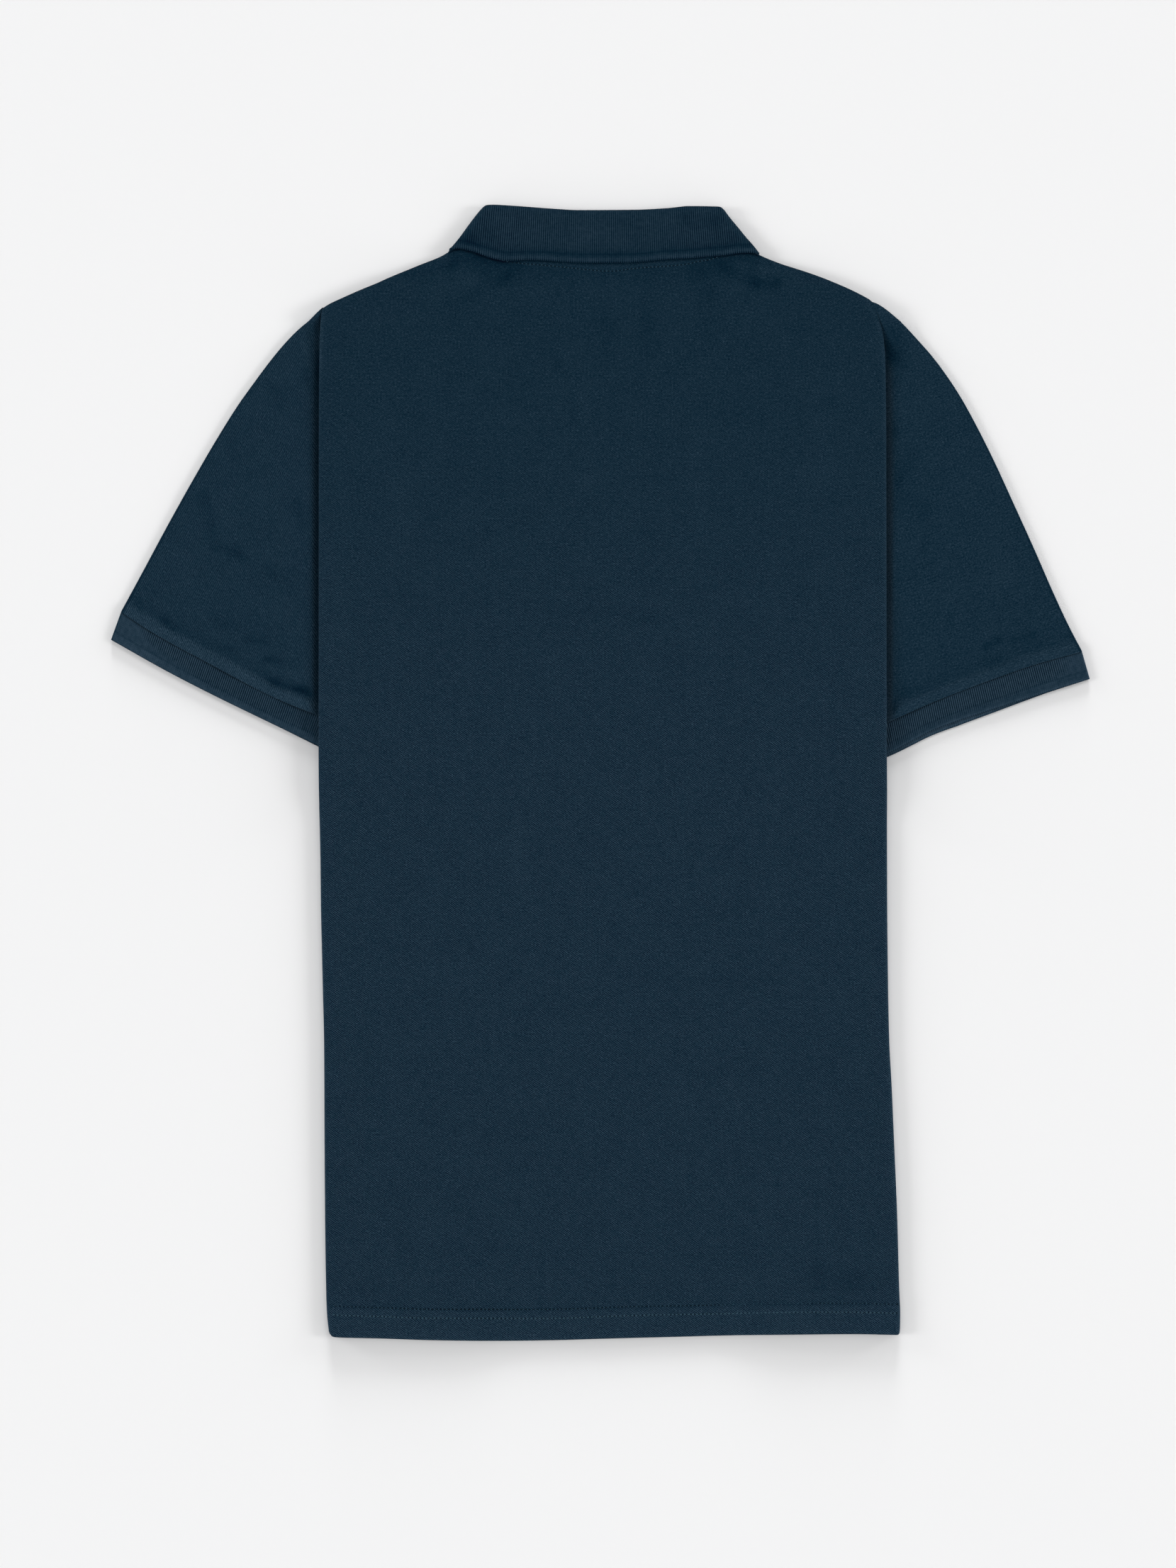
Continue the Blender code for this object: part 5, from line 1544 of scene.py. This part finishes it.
def collar_half(side):
    """Stations from one front end to that side's fold: (turn, fold, leaf edge, neck seam, out)."""
    sign = -1.0 if side == "left" else 1.0
    end = 0 if side == "left" else -1
    neck = SHOULDER[side]["across"][0]
    fold_side = np.array([COLLAR_FOLD["across"][end], COLLAR_FOLD["height"][end]])
    leaf_side = np.array(LEAF_SIDES[end])
    seam_side = np.array([
        sign * (neck - SEAM_INSET[0]),
        float(shoulder_height(side == "left", np.array([neck]))[0]) + SEAM_INSET[1],
    ])
    fold_front = np.array([sign * FRONT_END, FRONT_FOLD])
    leaf_front = np.array([sign * COLLAR_POINT[0], COLLAR_POINT[1]])
    seam_front = np.array([sign * FRONT_END, FRONT_NECK + 2.0 * GAP])
    down = unit(leaf_side - fold_side)
    out = sign * np.array([-down[1], down[0]])
    half = []
    for share in FRONT_SHARES:
        turn = math.radians(90.0 * share)
        oval = np.array([math.sin(turn), 1.0 - math.cos(turn)])
        fold = fold_front + oval * (fold_side - fold_front)
        leaf = leaf_front + share * (leaf_side - leaf_front)
        seam = seam_front + oval * (seam_side - seam_front)
        half.append((180.0, fold, leaf, seam, out))
    half += [(turn, fold_side, leaf_side, seam_side, out) for turn in SIDE_TURNS]
    return half


def collar_stations(count):
    """Stations right round the neck, count of them along the back between the two side folds."""
    left, right = collar_half("left"), collar_half("right")
    _, fold_first, leaf_first, seam_first, out_first = left[-1]
    _, fold_last, leaf_last, seam_last, out_last = right[-1]
    back = []
    for share in np.linspace(0.0, 1.0, count + 2)[1:-1]:
        fold = fold_first + share * (fold_last - fold_first)
        seam = seam_first + share * (seam_last - seam_first)
        leaf = leaf_first + share * (leaf_last - leaf_first)
        fold[1] = float(soft_curve(COLLAR_FOLD["across"], COLLAR_FOLD["height"], fold[0]))
        neckline = float(back_top(seam[0] < 0.0, np.array([abs(seam[0])]))[0]) + GAP
        seam[1] += float(ease(min(share, 1.0 - share) / 0.06)) * (neckline - seam[1])
        back.append((0.0, fold, leaf, seam, out_first + share * (out_last - out_first)))
    return left + back + right[::-1]


def make_stand_and_points():
    """The hidden part of the strip: the stand right round, and the leaf in front."""
    stations = collar_stations(STAND_STATIONS)
    middle = COLLAR_MIDDLE - RIB_WALL - GAP / 2.0
    rows = [("leaf", share, COLLAR_MIDDLE, 0.0) for share in LEAF_SHARES]
    for angle in HAIRPIN:
        toward = "leaf" if angle > 0.0 else "seam"
        rows.append((toward, 0.0, middle + FOLD_ROLL * math.sin(angle), FOLD_ROLL * math.cos(angle)))
    rows += [("seam", share, middle - FOLD_ROLL, 0.0) for share in SEAM_SHARES]
    grid = np.zeros((len(rows), len(stations), 3))
    for r, (toward, share, away, over) in enumerate(rows):
        for s, (turn, fold, leaf, seam, out) in enumerate(stations):
            goal = leaf if toward == "leaf" else seam
            rise = unit(fold - goal)
            base = fold - FOLD_ROLL * rise
            angle = math.radians(turn)
            place = base + share * (goal - base) + over * rise + away * math.sin(angle) * out
            grid[r, s] = (*place, COLLAR_MIDDLE + away * math.cos(angle))
    leaf_rows = len(LEAF_SHARES) + len(HAIRPIN) - 1
    skip = np.zeros((len(rows) - 1, len(stations) - 1), bool)
    skip[:leaf_rows, len(FRONT_SHARES) - 1:len(stations) - len(FRONT_SHARES)] = True
    ribbing = np.full(grid.shape[:2], 0.8)
    return cloth_wall(
        "collar_stand", grid, RIB_WALL, RIB_COLLAR, skip=skip, rim=0.0, marks=[("ribbing", ribbing)]
    )


stand_made = make_stand_and_points()
declare_sheet(stand_made, "collar")

# %% [markdown]
# ## Placket and buttons
# The front opens at a placket: two strips of the same pique, one over the other, edge-stitched, with
# three small dyed buttons. A button starts as a disc: its face is inset and sunk to leave a rim, its
# edges are rounded, and four holes are cut through for the thread.

# %% Placket strips
EDGE_STITCH = 1.8        # from the strip's edge
STITCH_DENT = (0.10, 0.8)


def make_placket(name, above, node):
    """One strip, this far above where the front panel's underside would be."""
    rows = np.linspace(PLACKET_END, PLACKET_TOP, 90)
    columns = np.linspace(-PLACKET_HALF, PLACKET_HALF, 25)
    y, x = np.meshgrid(rows, columns, indexing="ij")
    relief = np.zeros(x.shape)
    for inset in (EDGE_STITCH, PLACKET_HALF * 2.0 - EDGE_STITCH):
        relief -= STITCH_DENT[0] * line_share(x + PLACKET_HALF, inset, STITCH_DENT[1])
    grid = np.stack([x, y, front_lift(x, y) + above + WALL + relief], axis=2)
    made = cloth_wall(name, grid, WALL, PIQUE_BODY, rim=0.3)
    declare_sheet(made, node)


make_placket("placket_strip_over", 0.0, "placket_over")
make_placket("placket_strip_under", STEP, "placket_under")

# %% Button finish
def dyed_button():
    """Polished plastic with a faint swirl of dye."""
    recipe = Recipe("dyed_button", roughness=0.28, specular=0.5, sheen=0.0)
    swirl, _ = recipe.noise(recipe.places.outputs["Object"], 260.0, 3.0)
    recipe.colour((0.012, 0.024, 0.038), recipe.maths("MULTIPLY_ADD", swirl, 0.5, 0.75))
    recipe.bump(swirl, 0.02)
    return recipe.material


BUTTON_FINISH = dyed_button()

# %% Buttons
BUTTON_LIP = 1.1         # width of the raised rim round the face
BUTTON_DISH = (0.5, 0.45)                      # the face slopes in over this, and is sunk this deep
BUTTON_ROUNDING = 0.4
HOLE_RADIUS = 0.9
HOLE_SPREAD = 1.5
HOLE_PLACES = ((-1, -1), (1, -1), (1, 1), (-1, 1))


def make_button(name, row):
    """One button, its face down, at this height up the placket."""
    drop_selection()
    bpy.ops.mesh.primitive_cylinder_add(
        vertices=40, radius=MM * BUTTON_RADIUS, depth=MM * BUTTON_THICK,
        location=(0.0, MM * row, MM * BUTTON_THICK / 2.0),
    )
    button = bpy.context.object
    button.name = name
    bpy.ops.object.transform_apply(location=True, rotation=True, scale=True)
    bpy.ops.object.mode_set(mode="EDIT")
    bpy.ops.mesh.select_mode(type="FACE")
    bpy.ops.mesh.select_all(action="DESELECT")
    build = bmesh.from_edit_mesh(button.data)
    for face in build.faces:
        face.select_set(face.normal.z < -0.9)
    bmesh.update_edit_mesh(button.data)
    bpy.ops.mesh.inset(thickness=MM * BUTTON_LIP, depth=0.0)
    bpy.ops.mesh.inset(thickness=MM * BUTTON_DISH[0], depth=-MM * BUTTON_DISH[1])
    bpy.ops.object.mode_set(mode="OBJECT")
    bevel = button.modifiers.new("Rim", "BEVEL")
    bevel.width = MM * BUTTON_ROUNDING
    bevel.segments = 3
    bevel.limit_method = "ANGLE"
    bevel.angle_limit = math.radians(40.0)
    bpy.ops.object.modifier_apply(modifier=bevel.name)
    for across, up in HOLE_PLACES:
        drop_selection()
        bpy.ops.mesh.primitive_cylinder_add(
            vertices=14, radius=MM * HOLE_RADIUS, depth=MM * 4.0 * BUTTON_THICK,
            location=(MM * across * HOLE_SPREAD, MM * (row + up * HOLE_SPREAD), 0.0),
        )
        drill = bpy.context.object
        button.select_set(True)
        bpy.context.view_layer.objects.active = button
        cut = button.modifiers.new("Hole", "BOOLEAN")
        cut.operation = "DIFFERENCE"
        cut.object = drill
        cut.solver = "EXACT"
        bpy.ops.object.modifier_apply(modifier=cut.name)
        bpy.data.objects.remove(drill, do_unlink=True)
    button.data.materials.clear()
    button.data.materials.append(BUTTON_FINISH)
    button.select_set(True)
    bpy.context.view_layer.objects.active = button
    bpy.ops.object.shade_smooth_by_angle(angle=math.radians(35.0))
    return button


for number, row in enumerate(BUTTON_ROWS, start=1):
    button = make_button("shirt_button_%d" % number, row)
    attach(button, "root")
    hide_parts("button_%d" % number)
print("buttons:", len(BUTTON_ROWS))

# %% [markdown]
# ## Stitching
# The hem is held by a twin needle: two even rows of short stitches. Under the collar a row holds the
# neck tape. One stitch is modelled as two small beads, the thread and, after it, a near-black bead of
# painted shade for the needle hole, and the rows are copies of the pair set along the seam, each turned
# to the seam's way and pressed a little into the cloth. The upper hem row and the neck tape row use a
# dimmer thread, painted shade for stitches sunk into the cloth. They could be cut from one long tube,
# but a tube would hide the holes.

# %% One stitch
def thread(name, colour):
    """Twisted thread, or the painted shade of a needle hole."""
    recipe = Recipe(name, roughness=0.8, specular=0.05, sheen=0.0)
    fibre, _ = recipe.noise(recipe.places.outputs["Object"], 2600.0, 2.0)
    recipe.colour(colour, recipe.maths("MULTIPLY_ADD", fibre, 1.0, 0.5))
    recipe.bump(fibre, 0.05)
    return recipe.material


THREAD = thread("sewing_thread", (0.0440, 0.0940, 0.1330))
# a dimmer copy of the thread: painted shade for stitches sunk into the cloth
SHADED_THREAD = thread("sewing_thread_painted_shade", (0.0300, 0.0720, 0.1060))
# painted shade: a near-black bead where the needle hole lies in shadow
NEEDLE_HOLE_SHADE = thread("needle_hole_painted_shade", (0.0040, 0.0130, 0.0230))


def bead(length, width, height):
    """Points and faces of one small bead that lies along x, in millimetres."""
    drop_selection()
    bpy.ops.mesh.primitive_uv_sphere_add(segments=8, ring_count=6, radius=1.0)
    pattern = bpy.context.object
    bpy.ops.object.mode_set(mode="EDIT")
    bpy.ops.mesh.select_all(action="SELECT")
    bpy.ops.transform.rotate(value=math.radians(90.0), orient_axis="Y", center_override=(0.0, 0.0, 0.0))
    bpy.ops.transform.resize(
        value=(length / 2.0, width / 2.0, height / 2.0), center_override=(0.0, 0.0, 0.0)
    )
    bpy.ops.object.mode_set(mode="OBJECT")
    points = np.array([tuple(vertex.co) for vertex in pattern.data.vertices])
    faces = [tuple(face.vertices) for face in pattern.data.polygons]
    bpy.data.objects.remove(pattern, do_unlink=True)
    return points, faces


def stitch_row(name, places, beads):
    """A row of stitches on one mesh: places are (x, y, z, heading) in millimetres and radians, and
    beads are (size, how far along the seam, how high, finish)."""
    patterns = [bead(*size) for size, _, _, _ in beads]
    all_points, all_faces, finishes = [], [], []
    base = 0
    for n, (x, y, z, heading) in enumerate(places):
        c, s = math.cos(heading), math.sin(heading)
        for part, ((points, faces), (_, shift, rise, _)) in enumerate(zip(patterns, beads)):
            slack = 1.0 + 0.15 * math.sin(2.3 * n + part)
            along, aside = points[:, 0] * slack + shift, points[:, 1]
            spot = (along * c - aside * s + x, along * s + aside * c + y, points[:, 2] + z + rise)
            all_points.append(np.column_stack(spot))
            all_faces += [tuple(base + corner for corner in face) for face in faces]
            finishes += [part] * len(faces)
            base += len(points)
    mesh = bpy.data.meshes.new(name)
    mesh.from_pydata((np.concatenate(all_points) * MM).tolist(), [], all_faces)
    for _, _, _, finish in beads:
        mesh.materials.append(finish)
    mesh.polygons.foreach_set("material_index", finishes)
    mesh.shade_smooth()
    row = bpy.data.objects.new(name, mesh)
    bpy.context.collection.objects.link(row)
    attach(row, "root")
    print("%s: %d stitches" % (name, len(places)))


# %% Hem rows
HEM_PITCH = 2.7
HEM_BEADS = {
    # (length, width, height), along the seam, above the cloth, finish
    "hem_row_lower": (
        ((1.6, 1.05, 0.6), 0.0, -0.04, THREAD),
        ((1.3, 1.05, 0.3), 1.35, -0.03, NEEDLE_HOLE_SHADE),
    ),
    "hem_row_upper": (
        ((1.0, 0.9, 0.6), 0.0, -0.06, SHADED_THREAD),
        ((1.8, 1.25, 0.3), 1.35, -0.02, NEEDLE_HOLE_SHADE),
    ),
}
HEM_ENDS = 3.5           # the rows stop this far inside the side folds


def back_surface(x, y):
    """Height of the back's outer side, where stitches lie."""
    return back_lift(x, y) + WALL + back_relief(x, y)


def seam_places(path, pitch, surface):
    """Places for stitches along a path of plan points, a pitch apart, on the cloth's surface."""
    path = np.asarray(path, float)
    run = np.concatenate([[0.0], np.cumsum(np.hypot(*np.diff(path, axis=0).T))])
    at = np.arange(pitch / 2.0, run[-1], pitch)
    x, y = np.interp(at, run, path[:, 0]), np.interp(at, run, path[:, 1])
    ahead_x = np.interp(at + 0.5, run, path[:, 0]) - np.interp(at - 0.5, run, path[:, 0])
    ahead_y = np.interp(at + 0.5, run, path[:, 1]) - np.interp(at - 0.5, run, path[:, 1])
    return list(zip(x, y, surface(x, y), np.arctan2(ahead_y, ahead_x)))


hem_left, hem_right = (look_up(SIDES, side, -365.0) - HEM_ENDS for side in ("left", "right"))
hem_x = np.linspace(-hem_left, hem_right, 200)
for name, rise in zip(HEM_BEADS, HEM_ROWS):
    path = np.column_stack([hem_x, hem_height(hem_x) + rise + 0.25 * np.sin(hem_x / 17.0)])
    stitch_row(name, seam_places(path, HEM_PITCH, back_surface), HEM_BEADS[name])

# %% Neck tape row
TAPE_PITCH = 2.57
TAPE_BEADS = (
    ((1.35, 1.05, 0.3), 0.0, -0.03, NEEDLE_HOLE_SHADE),
    ((1.0, 0.9, 0.4), 1.28, -0.08, SHADED_THREAD),
)
tape_x = np.linspace(TAPE_LINE["across"][0], TAPE_LINE["across"][-1], 120)
tape_path = np.column_stack([tape_x, look_up(TAPE_LINE, "height", tape_x)])
stitch_row("neck_tape_row", seam_places(tape_path, TAPE_PITCH, back_surface), TAPE_BEADS)
